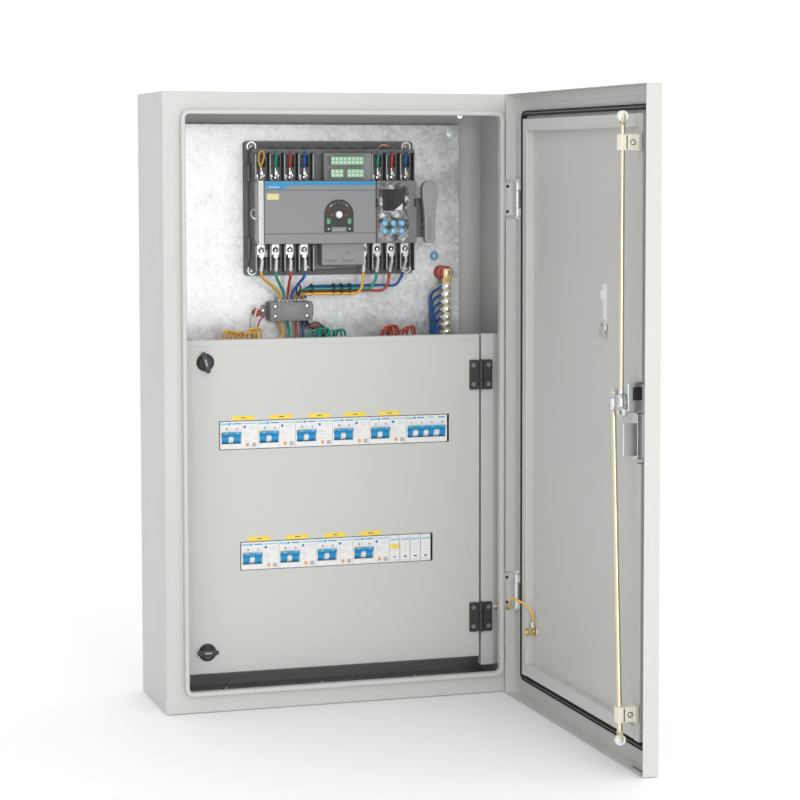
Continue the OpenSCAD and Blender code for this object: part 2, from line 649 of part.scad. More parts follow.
module outer_door() color([0.82, 0.82, 0.8]) on_outer_door() difference() {
    a = channel_in;
    b = channel_in + channel_w;
    union() {
        difference() {
            box([0, cab_w], [skin_e, -rim_gap], [0, cab_h]);
            box([sheet, in_t], [inner_skin_e, 1], [sheet, cab_h - sheet]);
            for (z = hinge_zs)
                box([in_t - 1, cab_w + 1], [inner_skin_e, 1], [z - notch_h / 2, z + notch_h / 2]);
        }
        channel([a, b], [a, lock_low - 4]);
        channel([a, b], [lock_top + 4, cab_h - a]);
        channel([cab_w - b - 8, cab_w - a - 8], [a, cab_h - a]);
        channel([b, cab_w - b - 8], [a, b]);
        channel([b, cab_w - b - 8], [cab_h - b, cab_h - a]);
    }
    bar_y(lock_in, lock_z, lock_shaft_r + 2, skin_e - 1, inner_skin_e + 1);
}

module door_gasket() color([0.07, 0.07, 0.07]) on_outer_door()
    ring(edge - lip_w / 2 - seal_w / 2, edge - lip_w / 2 + seal_w / 2,
        [inner_skin_e, -lip_proud - seal_gap], lip_r + 2);

// The two rod axes: the upper stands upright, the lower leans from its guide to the cam.
module lower_axis() translate([foot_t, 0, foot_z]) rotate([0, rod_lean, 0]) children();

module rod_guides() color([0.92, 0.9, 0.82]) on_outer_door() {
    difference() {
        box([rod_t - 11, rod_t + 11], [inner_skin_e + channel_h, rod_behind + 8],
            [cab_h - guide_from_end - 13, cab_h - guide_from_end + 13]);
        bar_z_at(rod_t, rod_behind, rod_r + clear, cab_h - guide_from_end - 20, cab_h - guide_from_end + 20);
    }
    difference() {
        box([foot_t - 11, foot_t + 11], [inner_skin_e + channel_h, rod_behind + 8],
            [foot_z - 13, foot_z + 13]);
        lower_axis() bar_z_at(0, rod_behind, rod_r + clear, -20, 20);
    }
}

module lock_housing() color([0.7, 0.74, 0.76]) on_outer_door() difference() {
    union() {
        box([lock_in - 12, lock_in + 12], [inner_skin_e, 0], [lock_z - 16, lock_top]);
        box([lock_in - 12, lock_in + 12], [inner_skin_e, -16], [lock_low, lock_z - 16]);
        box([lock_in - 9, lock_in - 5], [-16, 6], [lock_low + 6, lock_z - 30]);
    }
    bar_y(lock_in, lock_z, lock_shaft_r + clear, inner_skin_e - 1, 2);
}

// Outside turning handle with its shaft.
module lock_handle() color([0.12, 0.12, 0.13]) on_outer_door() {
    bar_y(lock_in, lock_z, lock_shaft_r, skin_e - 4, 7.2);
    bar_y(lock_in, lock_z, 17, skin_e - 12, skin_e - 0.3);
    box([lock_in - 12, lock_in + 95], [skin_e - 20, skin_e - 12], [lock_z - 8, lock_z + 8]);
}

// Two-armed cam at the shaft's end; its pins stand at half_turn below and above the level.
module lock_cam() color([0.72, 0.76, 0.78]) on_outer_door() difference() {
    union() {
        bar_y(lock_in, lock_z, lock_shaft_r + 5, 2, 6.8);
        for (s = [-1, 1]) {
            translate([lock_in, 0, lock_z]) rotate([0, -half_turn, 0])
                box([min(0, s * cam_throw), max(0, s * cam_throw)], [2.4, 6.6], [-6, 6]);
            bar_y(lock_in + s * cam_throw * cos(half_turn), lock_z + s * cam_rise, 6, 2.4, 6.6);
            bar_y(lock_in + s * cam_throw * cos(half_turn), lock_z + s * cam_rise, cam_pin_r, 6.6, 17);
        }
    }
    bar_y(lock_in, lock_z, lock_shaft_r + clear, 0, 9);
}

// Rod head: a flat tab behind the cam with a level slot for its pin.
module rod_head(t, z, up) difference() {
    union() {
        box([t - head_half, t + head_half], [rod_behind - 2.5, rod_behind + 2.5], [z - 7.5, z + 7.5]);
        bar_z_at(t, rod_behind, rod_r + 0.6, min(z, z + up * 34), max(z, z + up * 34));
        bar_x(t - 1, t + head_half + 2, rod_behind, z + up * 22, 2.6);
    }
    box([t - slot_half, t + slot_half], [0, 30], [z - cam_pin_r - slot_clear, z + cam_pin_r + slot_clear]);
}

// Roller fork at a rod's outer end.
module fork(t, z, up) {
    inner = z + up * 9;
    outer = z - up * (roller_r + 1);
    difference() {
        box([t - fork_w / 2, t + fork_w / 2], [rod_behind - 5, rod_behind + 5],
            [min(z + up * 4, z - up * 14), max(z + up * 4, z - up * 14)]);
        box([t - 3.4, t + 3.4], [0, 40], [min(inner, outer), max(inner, outer)]);
    }
}

module roller(t, z) difference() {
    bar_x(t - 3.1, t + 3.1, rod_behind, z, roller_r);
    bar_x(t - 4, t + 4, rod_behind, z, 2 + clear);
}

module upper_rod() color([0.78, 0.72, 0.45]) on_outer_door() {
    top = cab_h - roller_from_end;
    union() {
        rod_head(rod_t, lock_z - cam_rise, 1);
        bar_z_at(rod_t, rod_behind, rod_r, lock_z - cam_rise + 30, top - 12);
        fork(rod_t, top, 1);
        bar_x(rod_t - fork_w / 2, rod_t + fork_w / 2, rod_behind, top, 2);
    }
}

module lower_rod() color([0.78, 0.72, 0.45]) on_outer_door() {
    rod_head(crank_t, head_z, -1);
    lower_axis() {
        bar_z_at(0, rod_behind, rod_r, lower_end + 12, lower_len - 25);
        fork(0, lower_end, -1);
        bar_x(-fork_w / 2, fork_w / 2, rod_behind, lower_end, 2);
    }
}

module upper_roller() color([0.85, 0.85, 0.85]) on_outer_door() roller(rod_t, cab_h - roller_from_end);
module lower_roller() color([0.85, 0.85, 0.85]) on_outer_door() lower_axis() roller(0, lower_end);

// Bag with the cabinet's keys, taped to the door skin.
module key_bag() color([0.9, 0.9, 0.88]) on_outer_door()
    box([bag_t, bag_t + 60], [inner_skin_e, inner_skin_e + 12], [bag_z, bag_z + 120]);

module earth_studs() color([0.78, 0.62, 0.3]) on_outer_door() {
    bar_y(earth_t, earth_z, earth_r, inner_skin_e + 2, inner_skin_e + 22);
    difference() {
        bar_y(earth_t, earth_z, earth_r + 6, inner_skin_e, inner_skin_e + 2);
        bar_y(earth_t, earth_z, 1, inner_skin_e + 1, inner_skin_e + 3);
    }
    difference() {
        bar_y(earth_t, earth_z, earth_r * 2, inner_skin_e + 8, inner_skin_e + 13, 6);
        bar_y(earth_t, earth_z, earth_r + clear, inner_skin_e + 7, inner_skin_e + 14);
    }
}

// ---- inner door ----

module inner_door() color([0.82, 0.82, 0.8]) in_cabinet() {
    t = [inner_left, inner_left + inner_w];
    z = [inner_bottom, inner_top];
    back = face_behind + inner_fold;
    g = window_gap;
    difference() {
        union() {
            box(t, [face_behind, face_behind + sheet], z);
            box([t[0], t[0] + sheet], [face_behind, back], z);
            box([t[1] - sheet, t[1]], [face_behind, back], z);
            box(t, [face_behind, back], [z[0], z[0] + sheet]);
            box(t, [face_behind, back], [z[1] - sheet, z[1]]);
        }
        for (row = [[row1_t, row1_w, row1_z], [row2_t, row2_w, row2_z]])
            box([row[0] - g, row[0] + row[1] + 4 * g], [face_behind - 1, face_behind + 5],
                [row[2] - nose_h / 2 - g, row[2] + nose_h / 2 + g]);
        for (k = turn_zs) bar_y(inner_left + turn_in, k, 7 + clear, face_behind - 1, face_behind + 5);
    }
}

module inner_hinge_posts() color([0.08, 0.08, 0.08]) in_cabinet() for (z = leaf_zs) {
    for (s = [-1, 1]) translate([0, 0, s * leaf_h / 3]) {
        bar_z_at(gap_t, gap_e, inner_knuckle_r, z - leaf_h / 6 + 0.2, z + leaf_h / 6);
        box([gap_t, gap_t + leaf_w], [gap_e, face_behind], [z - leaf_h / 6 + 0.2, z + leaf_h / 6]);
    }
    box([gap_t + inner_knuckle_r + 0.6, gap_t + leaf_w], [gap_e, face_behind],
        [z - leaf_h / 2 + 0.2, z + leaf_h / 2]);
    bar_z_at(gap_t, gap_e, inner_pin_r, z - leaf_h / 2, z + leaf_h / 2);
}

module inner_hinge_leaves() color([0.08, 0.08, 0.08]) in_cabinet() for (z = leaf_zs) difference() {
    union() {
        bar_z_at(gap_t, gap_e, inner_knuckle_r, z - leaf_h / 6 + 0.2, z + leaf_h / 6 - 0.2);
        box([gap_t - leaf_w, gap_t], [gap_e, face_behind], [z - leaf_h / 6 + 0.2, z + leaf_h / 6 - 0.2]);
        box([gap_t - leaf_w, gap_t - inner_knuckle_r - 0.6], [gap_e, face_behind],
            [z - leaf_h / 2, z + leaf_h / 2]);
    }
    bar_z_at(gap_t, gap_e, inner_pin_r + clear, z - leaf_h, z + leaf_h);
}

// Quarter-turn lock: winged knob, shaft and cam behind the door.
module turn_lock(z, wing) {
    t = inner_left + turn_in;
    e = face_behind;
    bar_y(t, z, 7, e - 2, e + 24);
    bar_y(t, z, 14.5, e - 6, e - 0.3);
    translate([t, 0, z]) rotate([0, wing, 0]) box([-17.5, 17.5], [e - 9, e - 5], [-5, 5]);
    box([t - 8, t + 8], [e + 21, e + 24], [z - 8, z + 36]);
}

module upper_lock() color([0.1, 0.1, 0.1]) in_cabinet() turn_lock(turn_zs[1], 75);
module lower_lock() color([0.1, 0.1, 0.1]) in_cabinet() turn_lock(turn_zs[0], 0);

cabinet_shell();
gland_plate();
mounting_plate();
plate_fasteners();
hinge_brackets();
hinge_pins();
inner_frame();
din_rails();
rcbo_housings();
mcb_housing();
surge_protector();
rcbo_toggle(0);  // rcbo_toggle_1
rcbo_toggle(1);  // rcbo_toggle_2
rcbo_toggle(2);  // rcbo_toggle_3
rcbo_toggle(3);  // rcbo_toggle_4
rcbo_toggle(4);  // rcbo_toggle_5
rcbo_toggle(5);  // rcbo_toggle_6
rcbo_toggle(6);  // rcbo_toggle_7
rcbo_toggle(7);  // rcbo_toggle_8
rcbo_toggle(8);  // rcbo_toggle_9
mcb_toggle();
neutral_bar();
bar_insulators();
terminal_block();
power_wires();
control_wires();
ats_base();
ats_housing();
ats_terminals();
phase_barriers();
signal_terminals();
aux_block();
indicator_plate();
ats_controller();
controller_button(0);  // controller_button_1
controller_button(1);  // controller_button_2
controller_button(2);  // controller_button_3
controller_button(3);  // controller_button_4
controller_button(4);  // controller_button_5
controller_button(5);  // controller_button_6
ats_spindle();
ats_handle();
outer_door();
door_gasket();
door_hinge_leaves();
rod_guides();
lock_housing();
lock_handle();
lock_cam();
upper_rod();
lower_rod();
upper_roller();
lower_roller();
key_bag();
earth_studs();
inner_door();
inner_hinge_posts();
inner_hinge_leaves();
upper_lock();
lower_lock();
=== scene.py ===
import math
import random

import bmesh
import bpy
from mathutils import Matrix, Vector, geometry


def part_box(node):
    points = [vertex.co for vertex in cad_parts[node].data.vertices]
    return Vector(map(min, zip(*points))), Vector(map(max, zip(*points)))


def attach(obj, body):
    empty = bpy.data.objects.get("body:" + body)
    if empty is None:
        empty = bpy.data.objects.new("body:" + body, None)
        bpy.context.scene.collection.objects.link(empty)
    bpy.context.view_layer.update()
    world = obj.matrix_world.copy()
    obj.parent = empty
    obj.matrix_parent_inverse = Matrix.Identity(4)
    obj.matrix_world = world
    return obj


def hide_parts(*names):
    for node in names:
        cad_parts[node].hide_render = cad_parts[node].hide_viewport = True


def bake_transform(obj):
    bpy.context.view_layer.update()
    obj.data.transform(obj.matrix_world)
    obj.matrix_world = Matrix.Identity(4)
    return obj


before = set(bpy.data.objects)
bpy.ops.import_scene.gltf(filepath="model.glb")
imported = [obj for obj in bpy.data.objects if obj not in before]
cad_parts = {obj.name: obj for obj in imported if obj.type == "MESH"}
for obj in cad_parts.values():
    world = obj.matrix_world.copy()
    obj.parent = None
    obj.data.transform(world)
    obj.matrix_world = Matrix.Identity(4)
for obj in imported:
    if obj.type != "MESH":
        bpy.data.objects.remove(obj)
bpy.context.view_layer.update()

scene = bpy.context.scene
scene.view_settings.view_transform = "Standard"

cameraView = {
    "place": (-1.0610, -4.0112, 0.3849),
    "tilt": -4.14,        # degrees below level
    "turn": 18.263,       # degrees towards the door
    "lens": 109.45,
    "sensor": 36,
    "clipEnd": 60,
    "shift": (-0.075, -0.075),
}
cameraData = bpy.data.cameras.new("camera")
cameraData.lens = cameraView["lens"]
cameraData.sensor_width = cameraView["sensor"]
cameraData.shift_x, cameraData.shift_y = cameraView["shift"]
cameraData.clip_end = cameraView["clipEnd"]
camera = bpy.data.objects.new("camera", cameraData)
camera.location = cameraView["place"]
camera.rotation_euler = (math.radians(90 + cameraView["tilt"]), 0, -math.radians(cameraView["turn"]))
scene.collection.objects.link(camera)
scene.camera = camera

mm = 0.001
shellLow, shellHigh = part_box("cabinet_shell")
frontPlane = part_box("hinge_brackets")[1].y       # face that the rain lip stands on
inCabinet = Matrix.Translation((shellLow.x, frontPlane, shellLow.z)) @ Matrix.Scale(mm, 4)
pinLow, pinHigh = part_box("hinge_pins")
hingeLine = Vector(((pinLow.x + pinHigh.x) / 2, (pinLow.y + pinHigh.y) / 2, 0))
onDoor = (Matrix.Translation(hingeLine) @ Matrix.Rotation(math.radians(90), 4, "Z")
          @ Matrix.Translation(-hingeLine) @ inCabinet)


# Corners of a CAD node as (t, e, z): from the left side, behind the front, above the floor.
def millimetres(name, place=inCabinet):
    low, high = (place.inverted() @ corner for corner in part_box(name))
    return tuple(map(min, low, high)), tuple(map(max, low, high))


def addNode(tree, kind, sockets=None, **settings):
    made = tree.nodes.new("ShaderNode" + kind)
    for key, value in settings.items():
        setattr(made, key, value)
    for key, value in (sockets or {}).items():
        if isinstance(value, bpy.types.NodeSocket):
            tree.links.new(value, made.inputs[key])
        else:
            made.inputs[key].default_value = value
    return made


def newGroup(name, inputs, outputs):
    tree = bpy.data.node_groups.new(name, "ShaderNodeTree")
    kinds = {"value": "NodeSocketFloat", "colour": "NodeSocketColor", "vector": "NodeSocketVector"}
    for title, kind, start in inputs:
        tree.interface.new_socket(name=title, in_out="INPUT", socket_type=kinds[kind]).default_value = start
    for title, kind in outputs:
        tree.interface.new_socket(name=title, in_out="OUTPUT", socket_type=kinds[kind])
    return tree, tree.nodes.new("NodeGroupInput").outputs, tree.nodes.new("NodeGroupOutput").inputs


def mathNode(tree, operation, first, second=0.0, clamp=False):
    return addNode(tree, "Math", {0: first, 1: second}, operation=operation, use_clamp=clamp).outputs[0]


def noiseOf(tree, perMetre, detail=3.0, vector=None, rough=0.5, stretch=None):
    where = vector or addNode(tree, "TexCoord").outputs["Object"]
    if stretch:
        where = addNode(tree, "VectorMath", {0: where, 1: stretch}, operation="MULTIPLY").outputs[0]
    return addNode(tree, "TexNoise", {"Vector": where, "Scale": perMetre, "Detail": detail,
            "Roughness": rough}).outputs["Fac"]


def colourMix(tree, factor, first, second):
    made = addNode(tree, "Mix", data_type="RGBA")
    for index, value in ((0, factor), (6, first), (7, second)):
        if isinstance(value, bpy.types.NodeSocket):
            tree.links.new(value, made.inputs[index])
        else:
            made.inputs[index].default_value = value
    return made.outputs[2]


def buildTintGroup():      # slow colour drift with a fine speckle over it
    tree, given, out = newGroup("tintDrift", [("Base", "colour", (1, 1, 1, 1)), ("Drift", "value", 0.06),
        ("Drift scale", "value", 9.0), ("Speckle", "value", 0.03), ("Speckle scale", "value", 900.0)],
        [("Color", "colour"), ("Tone", "value")])
    slow = noiseOf(tree, given["Drift scale"], 4)
    fine = noiseOf(tree, given["Speckle scale"], 2)
    slowPart = mathNode(tree, "MULTIPLY", mathNode(tree, "SUBTRACT", slow, 0.5), given["Drift"])
    finePart = mathNode(tree, "MULTIPLY", mathNode(tree, "SUBTRACT", fine, 0.5), given["Speckle"])
    tone = mathNode(tree, "ADD", mathNode(tree, "ADD", slowPart, finePart), 1.0)
    tinted = addNode(tree, "VectorMath", {0: given["Base"], "Scale": tone}, operation="SCALE").outputs[0]
    tree.links.new(tinted, out["Color"])
    tree.links.new(tone, out["Tone"])
    return tree


def buildGrainGroup():     # surface height in millimetres: a wave and a fine grain
    tree, given, out = newGroup("surfaceGrain", [("Wave scale", "value", 260.0), ("Wave depth", "value", 0.02),
        ("Grain scale", "value", 1600.0), ("Grain depth", "value", 0.01)], [("Height", "value")])
    wave = mathNode(tree, "MULTIPLY", noiseOf(tree, given["Wave scale"], 2), given["Wave depth"])
    grain = mathNode(tree, "MULTIPLY", noiseOf(tree, given["Grain scale"], 2), given["Grain depth"])
    tree.links.new(mathNode(tree, "ADD", wave, grain), out["Height"])
    return tree


def buildRubGroup():       # rubbed patches: roughness that changes over the surface
    tree, given, out = newGroup("rubbedPatches", [("Roughness", "value", 0.45), ("Change", "value", 0.1),
        ("Patch scale", "value", 22.0)], [("Roughness", "value")])
    patch = noiseOf(tree, given["Patch scale"], 5, rough=0.62)
    change = mathNode(tree, "MULTIPLY", mathNode(tree, "SUBTRACT", patch, 0.5), given["Change"])
    tree.links.new(mathNode(tree, "ADD", given["Roughness"], change, clamp=True), out["Roughness"])
    return tree


def buildEdgeGroup():      # rounded-edge normal and a mask of the edges
    tree, given, out = newGroup("softEdges", [("Radius", "value", 0.0005), ("Wear", "value", 0.5)],
        [("Normal", "vector"), ("Mask", "value")])
    rounded = addNode(tree, "Bevel", {"Radius": given["Radius"]}, samples=4).outputs[0]
    flat = addNode(tree, "NewGeometry").outputs["Normal"]
    facing = addNode(tree, "VectorMath", {0: rounded, 1: flat}, operation="DOT_PRODUCT").outputs["Value"]
    edge = mathNode(tree, "MULTIPLY", mathNode(tree, "SUBTRACT", 1.0, facing), 5.0, clamp=True)
    worn = mathNode(tree, "MULTIPLY", edge, mathNode(tree, "MULTIPLY", noiseOf(tree, 240.0, 4), given["Wear"]),
                    clamp=True)
    tree.links.new(rounded, out["Normal"])
    tree.links.new(worn, out["Mask"])
    return tree


def buildSpangleGroup():   # hot-dip zinc: crystals of two sizes under a cloudy bloom
    inputs = [("Dark", "colour", (0.4, 0.42, 0.44, 1)), ("Light", "colour", (0.86, 0.87, 0.88, 1)),
              ("Crystal scale", "value", 110.0)]
    outputs = [("Color", "colour"), ("Roughness", "value"), ("Height", "value")]
    tree, given, out = newGroup("zincSpangle", inputs, outputs)
    where = addNode(tree, "TexCoord").outputs["Object"]
    warp = addNode(tree, "TexNoise", {"Vector": where, "Scale": 60.0, "Detail": 2.0}).outputs["Color"]
    bent = addNode(tree, "VectorMath", {0: warp, 1: (0.016, 0.016, 0.016), 2: where},
                   operation="MULTIPLY_ADD").outputs[0]
    big = addNode(tree, "TexVoronoi", {"Vector": bent, "Scale": given["Crystal scale"]}).outputs["Color"]
    smallScale = mathNode(tree, "MULTIPLY", given["Crystal scale"], 2.7)
    small = addNode(tree, "TexVoronoi", {"Vector": bent, "Scale": smallScale}).outputs["Color"]
    bigTone = addNode(tree, "SeparateColor", {0: big}).outputs[0]
    smallTone = addNode(tree, "SeparateColor", {0: small}).outputs[1]
    cloud = noiseOf(tree, 13.0, 6, where, 0.65)
    cloudTone = addNode(tree, "MapRange", {"Value": cloud, "From Min": 0.32, "From Max": 0.68}).outputs[0]
    mixed = mathNode(tree, "ADD", mathNode(tree, "MULTIPLY", bigTone, 0.3),
                     mathNode(tree, "MULTIPLY", smallTone, 0.22))
    tone = mathNode(tree, "ADD", mixed, mathNode(tree, "MULTIPLY", cloudTone, 0.48), clamp=True)
    tree.links.new(colourMix(tree, tone, given["Dark"], given["Light"]), out["Color"])
    tree.links.new(mathNode(tree, "ADD", mathNode(tree, "MULTIPLY", tone, 0.22), 0.3), out["Roughness"])
    tree.links.new(mathNode(tree, "MULTIPLY", mathNode(tree, "ADD", bigTone, smallTone), 0.006), out["Height"])
    return tree


tintGroup = buildTintGroup()
grainGroup = buildGrainGroup()
rubGroup = buildRubGroup()
edgeGroup = buildEdgeGroup()
spangleGroup = buildSpangleGroup()


def place(tree, group, **values):
    made = tree.nodes.new("ShaderNodeGroup")
    made.node_tree = group
    for key, value in values.items():
        title = key.replace("_", " ")
        if isinstance(value, bpy.types.NodeSocket):
            tree.links.new(value, made.inputs[title])
        else:
            made.inputs[title].default_value = value
    return made.outputs


def startMaterial(name):
    material = bpy.data.materials.new(name)
    material.use_nodes = True
    tree = material.node_tree
    tree.nodes.clear()
    shader = tree.nodes.new("ShaderNodeBsdfPrincipled")
    output = tree.nodes.new("ShaderNodeOutputMaterial")
    tree.links.new(shader.outputs[0], output.inputs["Surface"])
    return material, tree, shader


def setShader(shader, **values):
    for key, value in values.items():
        shader.inputs[key.replace("_", " ")].default_value = value


def linkHeight(tree, shader, height, normal, strength=1.0):
    bump = addNode(tree, "Bump", {"Strength": strength, "Distance": mm, "Height": height, "Normal": normal})
    tree.links.new(bump.outputs[0], shader.inputs["Normal"])


def finishOf(name, colour, rough, metal=0.0, drift=0.06, speckle=0.03, speckleScale=900.0, change=0.1, edge=0.0005,
             wear=0.3, worn=None, wave=(260.0, 0.01), grain=(1600.0, 0.005), coat=0.0, driftScale=9.0):
    material, tree, shader = startMaterial(name)
    tint = place(tree, tintGroup, Base=(*colour, 1), Drift=drift, Drift_scale=driftScale, Speckle=speckle,
                 Speckle_scale=speckleScale)
    edges = place(tree, edgeGroup, Radius=edge, Wear=wear)
    wornColour = worn or tuple(min(1.0, part * 1.25 + 0.02) for part in colour)
    tree.links.new(colourMix(tree, edges["Mask"], tint["Color"], (*wornColour, 1)), shader.inputs["Base Color"])
    tree.links.new(place(tree, rubGroup, Roughness=rough, Change=change)["Roughness"], shader.inputs["Roughness"])
    height = place(tree, grainGroup, Wave_scale=wave[0], Wave_depth=wave[1], Grain_scale=grain[0],
                   Grain_depth=grain[1])
    linkHeight(tree, shader, height["Height"], edges["Normal"])
    setShader(shader, Metallic=metal, Coat_Weight=coat)
    return material


def buildGalvanised():
    material, tree, shader = startMaterial("galvanisedSheet")
    spangle = place(tree, spangleGroup, Dark=(0.43, 0.44, 0.45, 1), Light=(0.93, 0.94, 0.95, 1), Crystal_scale=115.0)
    edges = place(tree, edgeGroup, Radius=0.0005, Wear=0.0)
    tree.links.new(spangle["Color"], shader.inputs["Base Color"])
    tree.links.new(spangle["Roughness"], shader.inputs["Roughness"])
    linkHeight(tree, shader, spangle["Height"], edges["Normal"])
    setShader(shader, Metallic=0.75)
    return material


def buildBrushed(name, colour, rough, stretch, depth=0.004):     # drawn bar, grained along its length
    material, tree, shader = startMaterial(name)
    tint = place(tree, tintGroup, Base=(*colour, 1), Drift=0.22, Drift_scale=24.0, Speckle=0.08, Speckle_scale=700.0)
    edges = place(tree, edgeGroup, Radius=0.0004, Wear=0.3)
    tree.links.new(colourMix(tree, edges["Mask"], tint["Color"], (0.85, 0.85, 0.83, 1)), shader.inputs["Base Color"])
    tree.links.new(place(tree, rubGroup, Roughness=rough, Change=0.18, Patch_scale=60.0)["Roughness"],
                   shader.inputs["Roughness"])
    lines = mathNode(tree, "MULTIPLY", noiseOf(tree, 1800.0, 3, stretch=stretch), depth)
    linkHeight(tree, shader, lines, edges["Normal"])
    setShader(shader, Metallic=1.0)
    return material


def buildFilm():           # crinkled protective film; the silvery patches where it lifts are a painted reflection
    material, tree, shader = startMaterial("crinkledFilm")
    crease = noiseOf(tree, 70.0, 3, rough=0.75)
    folds = addNode(tree, "TexVoronoi", {"Vector": addNode(tree, "TexCoord").outputs["Object"], "Scale": 60.0},
                    feature="DISTANCE_TO_EDGE").outputs[0]
    # mask of the bright patches: painted reflection of the lifted film, mixed into its colour
    liftedSheen = addNode(tree, "MapRange", {"Value": crease, "From Min": 0.42, "From Max": 0.6}).outputs[0]
    tree.links.new(colourMix(tree, liftedSheen, (0.16, 0.16, 0.165, 1), (0.88, 0.89, 0.90, 1)),
                   shader.inputs["Base Color"])
    tree.links.new(place(tree, rubGroup, Roughness=0.2, Change=0.2, Patch_scale=90.0)["Roughness"],
                   shader.inputs["Roughness"])
    height = mathNode(tree, "ADD", mathNode(tree, "MULTIPLY", crease, 1.2), mathNode(tree, "MULTIPLY", folds, 30.0))
    linkHeight(tree, shader, height, addNode(tree, "NewGeometry").outputs["Normal"], 0.9)
    setShader(shader, Metallic=0.45, Coat_Weight=1.0, Coat_Roughness=0.05)
    return material


materials = {
    "paint": finishOf("greyPowderCoat", (0.575, 0.58, 0.56), 0.42, drift=0.035, speckle=0.07, speckleScale=620.0,
                      wave=(330.0, 0.03), grain=(1500.0, 0.012), edge=0.0012, wear=0.12, change=0.12),
    "galvanised": buildGalvanised(),
    "zinc": finishOf("zincPlating", (0.80, 0.82, 0.83), 0.36, 1.0, drift=0.16, driftScale=60.0, wear=0.3, change=0.2),
    "passivated": buildBrushed("yellowPassivatedSteel", (0.80, 0.72, 0.52), 0.3, (1, 1, 0.03)),
    "tinned": finishOf("tinnedCopper", (0.83, 0.82, 0.79), 0.3, 1.0, drift=0.2, driftScale=90.0, change=0.2),
    "brass": finishOf("brass", (0.80, 0.60, 0.27), 0.3, 1.0, drift=0.2, driftScale=80.0, change=0.2),
    "copper": finishOf("bareCopper", (0.85, 0.45, 0.28), 0.35, 1.0, drift=0.2, driftScale=80.0),
    "black": finishOf("blackPlastic", (0.032, 0.032, 0.034), 0.42, drift=0.15, wear=0.25, worn=(0.09, 0.09, 0.09)),
    "darkGreyAndShade": finishOf("shadeAndDarkGreyPlastic", (0.185, 0.186, 0.19), 0.5, drift=0.1, wear=0.3, grain=(1400.0, 0.012)),
    "midGrey": finishOf("midGreyPlastic", (0.27, 0.275, 0.28), 0.46, drift=0.06, wear=0.25, grain=(1300.0, 0.012)),
    "handleGrey": finishOf("paddleGreyPlastic", (0.33, 0.335, 0.335), 0.4, drift=0.05, wear=0.25,
                           grain=(1300.0, 0.01)),
    "white": finishOf("whitePlastic", (0.80, 0.80, 0.79), 0.34, drift=0.03, speckle=0.015, wear=0.1,
                      worn=(0.9, 0.9, 0.88)),
    "offWhite": finishOf("ivoryPlastic", (0.80, 0.775, 0.70), 0.42, drift=0.05, wear=0.1),
    "blue": finishOf("blueToggle", (0.008, 0.29, 0.60), 0.3, drift=0.06, wear=0.25, worn=(0.08, 0.4, 0.8)),
    "skyBlue": finishOf("blueStripePrint", (0.02, 0.29, 0.56), 0.4, drift=0.05, wear=0.05),
    "paleKey": finishOf("paleBlueKeys", (0.22, 0.55, 0.80), 0.25, drift=0.1, wear=0.2, coat=0.6),
    "redInsulator": finishOf("redResin", (0.50, 0.045, 0.025), 0.35, drift=0.15, wear=0.25),
    "green": finishOf("greenConnector", (0.30, 0.62, 0.37), 0.42, drift=0.08, wear=0.2),
    "rubber": finishOf("blackRubber", (0.012, 0.012, 0.013), 0.62, drift=0.2, wear=0.3, worn=(0.05, 0.05, 0.05),
                       grain=(1100.0, 0.02)),
    "wireYellow": finishOf("yellowCover", (0.86, 0.46, 0.06), 0.38, drift=0.08),
    "wireGreen": finishOf("greenCover", (0.03, 0.33, 0.25), 0.38, drift=0.1),
    "wireRed": finishOf("redBrownCover", (0.50, 0.075, 0.05), 0.38, drift=0.12),
    "wireBlue": finishOf("blueCover", (0.02, 0.13, 0.42), 0.38, drift=0.1),
    "wireBlack": finishOf("blackCover", (0.02, 0.02, 0.022), 0.4, drift=0.1),
    "sleeve": finishOf("whiteShrinkSleeve", (0.78, 0.78, 0.76), 0.4, drift=0.05),
    "tie": finishOf("blackNylonTie", (0.015, 0.015, 0.016), 0.45),
    "yellowLabel": finishOf("yellowLabel", (0.88, 0.66, 0.06), 0.42, drift=0.05, wear=0.05),
    "paleLabel": finishOf("paleYellowLabel", (0.80, 0.72, 0.36), 0.42, drift=0.05, wear=0.05),
    "whiteLabelAndGlare": finishOf("whiteLabelAndGlare", (0.80, 0.80, 0.80), 0.45, drift=0.02, wear=0.0),
    "printGreyAndHighlight": finishOf("greyPrintAndHighlight", (0.42, 0.43, 0.44), 0.45, drift=0.05, wear=0.0),
    "printDarkAndShade": finishOf("shadeAndDarkPrint", (0.06, 0.06, 0.065), 0.45, drift=0.05, wear=0.0),
    "printSky": finishOf("paleBluePrint", (0.30, 0.56, 0.70), 0.4, drift=0.05, wear=0.0),
    "printBlue": finishOf("blueDotPrint", (0.02, 0.22, 0.45), 0.35, drift=0.05, wear=0.0),
    "printGreen": finishOf("greenMark", (0.10, 0.45, 0.25), 0.35, drift=0.05, wear=0.0),
    "printRed": finishOf("redMark", (0.60, 0.06, 0.05), 0.35, drift=0.05, wear=0.0),
    "orange": finishOf("orangeTestButton", (0.88, 0.30, 0.07), 0.35, drift=0.05, wear=0.1),
    "film": buildFilm(),
    "sealGrooveHighlight": finishOf("sealPaintedHighlight", (0.30, 0.30, 0.30), 0.7, drift=0.1, grain=(700.0, 0.05)),
    "roller": finishOf("rollerNylon", (0.80, 0.81, 0.80), 0.3, drift=0.08, driftScale=140.0, coat=0.4),
    "ivory": finishOf("ivoryNylon", (0.76, 0.72, 0.61), 0.45, drift=0.06, driftScale=90.0, grain=(900.0, 0.012)),
    "tape": finishOf("paperTape", (0.86, 0.86, 0.83), 0.6, drift=0.06, driftScale=200.0, grain=(500.0, 0.05)),
    "screen": finishOf("darkScreenGlass", (0.022, 0.022, 0.024), 0.12, drift=0.1, wear=0.0, change=0.05, coat=1.0,
                       wave=(60.0, 0.01)),
}
print("materials made:", len(materials))

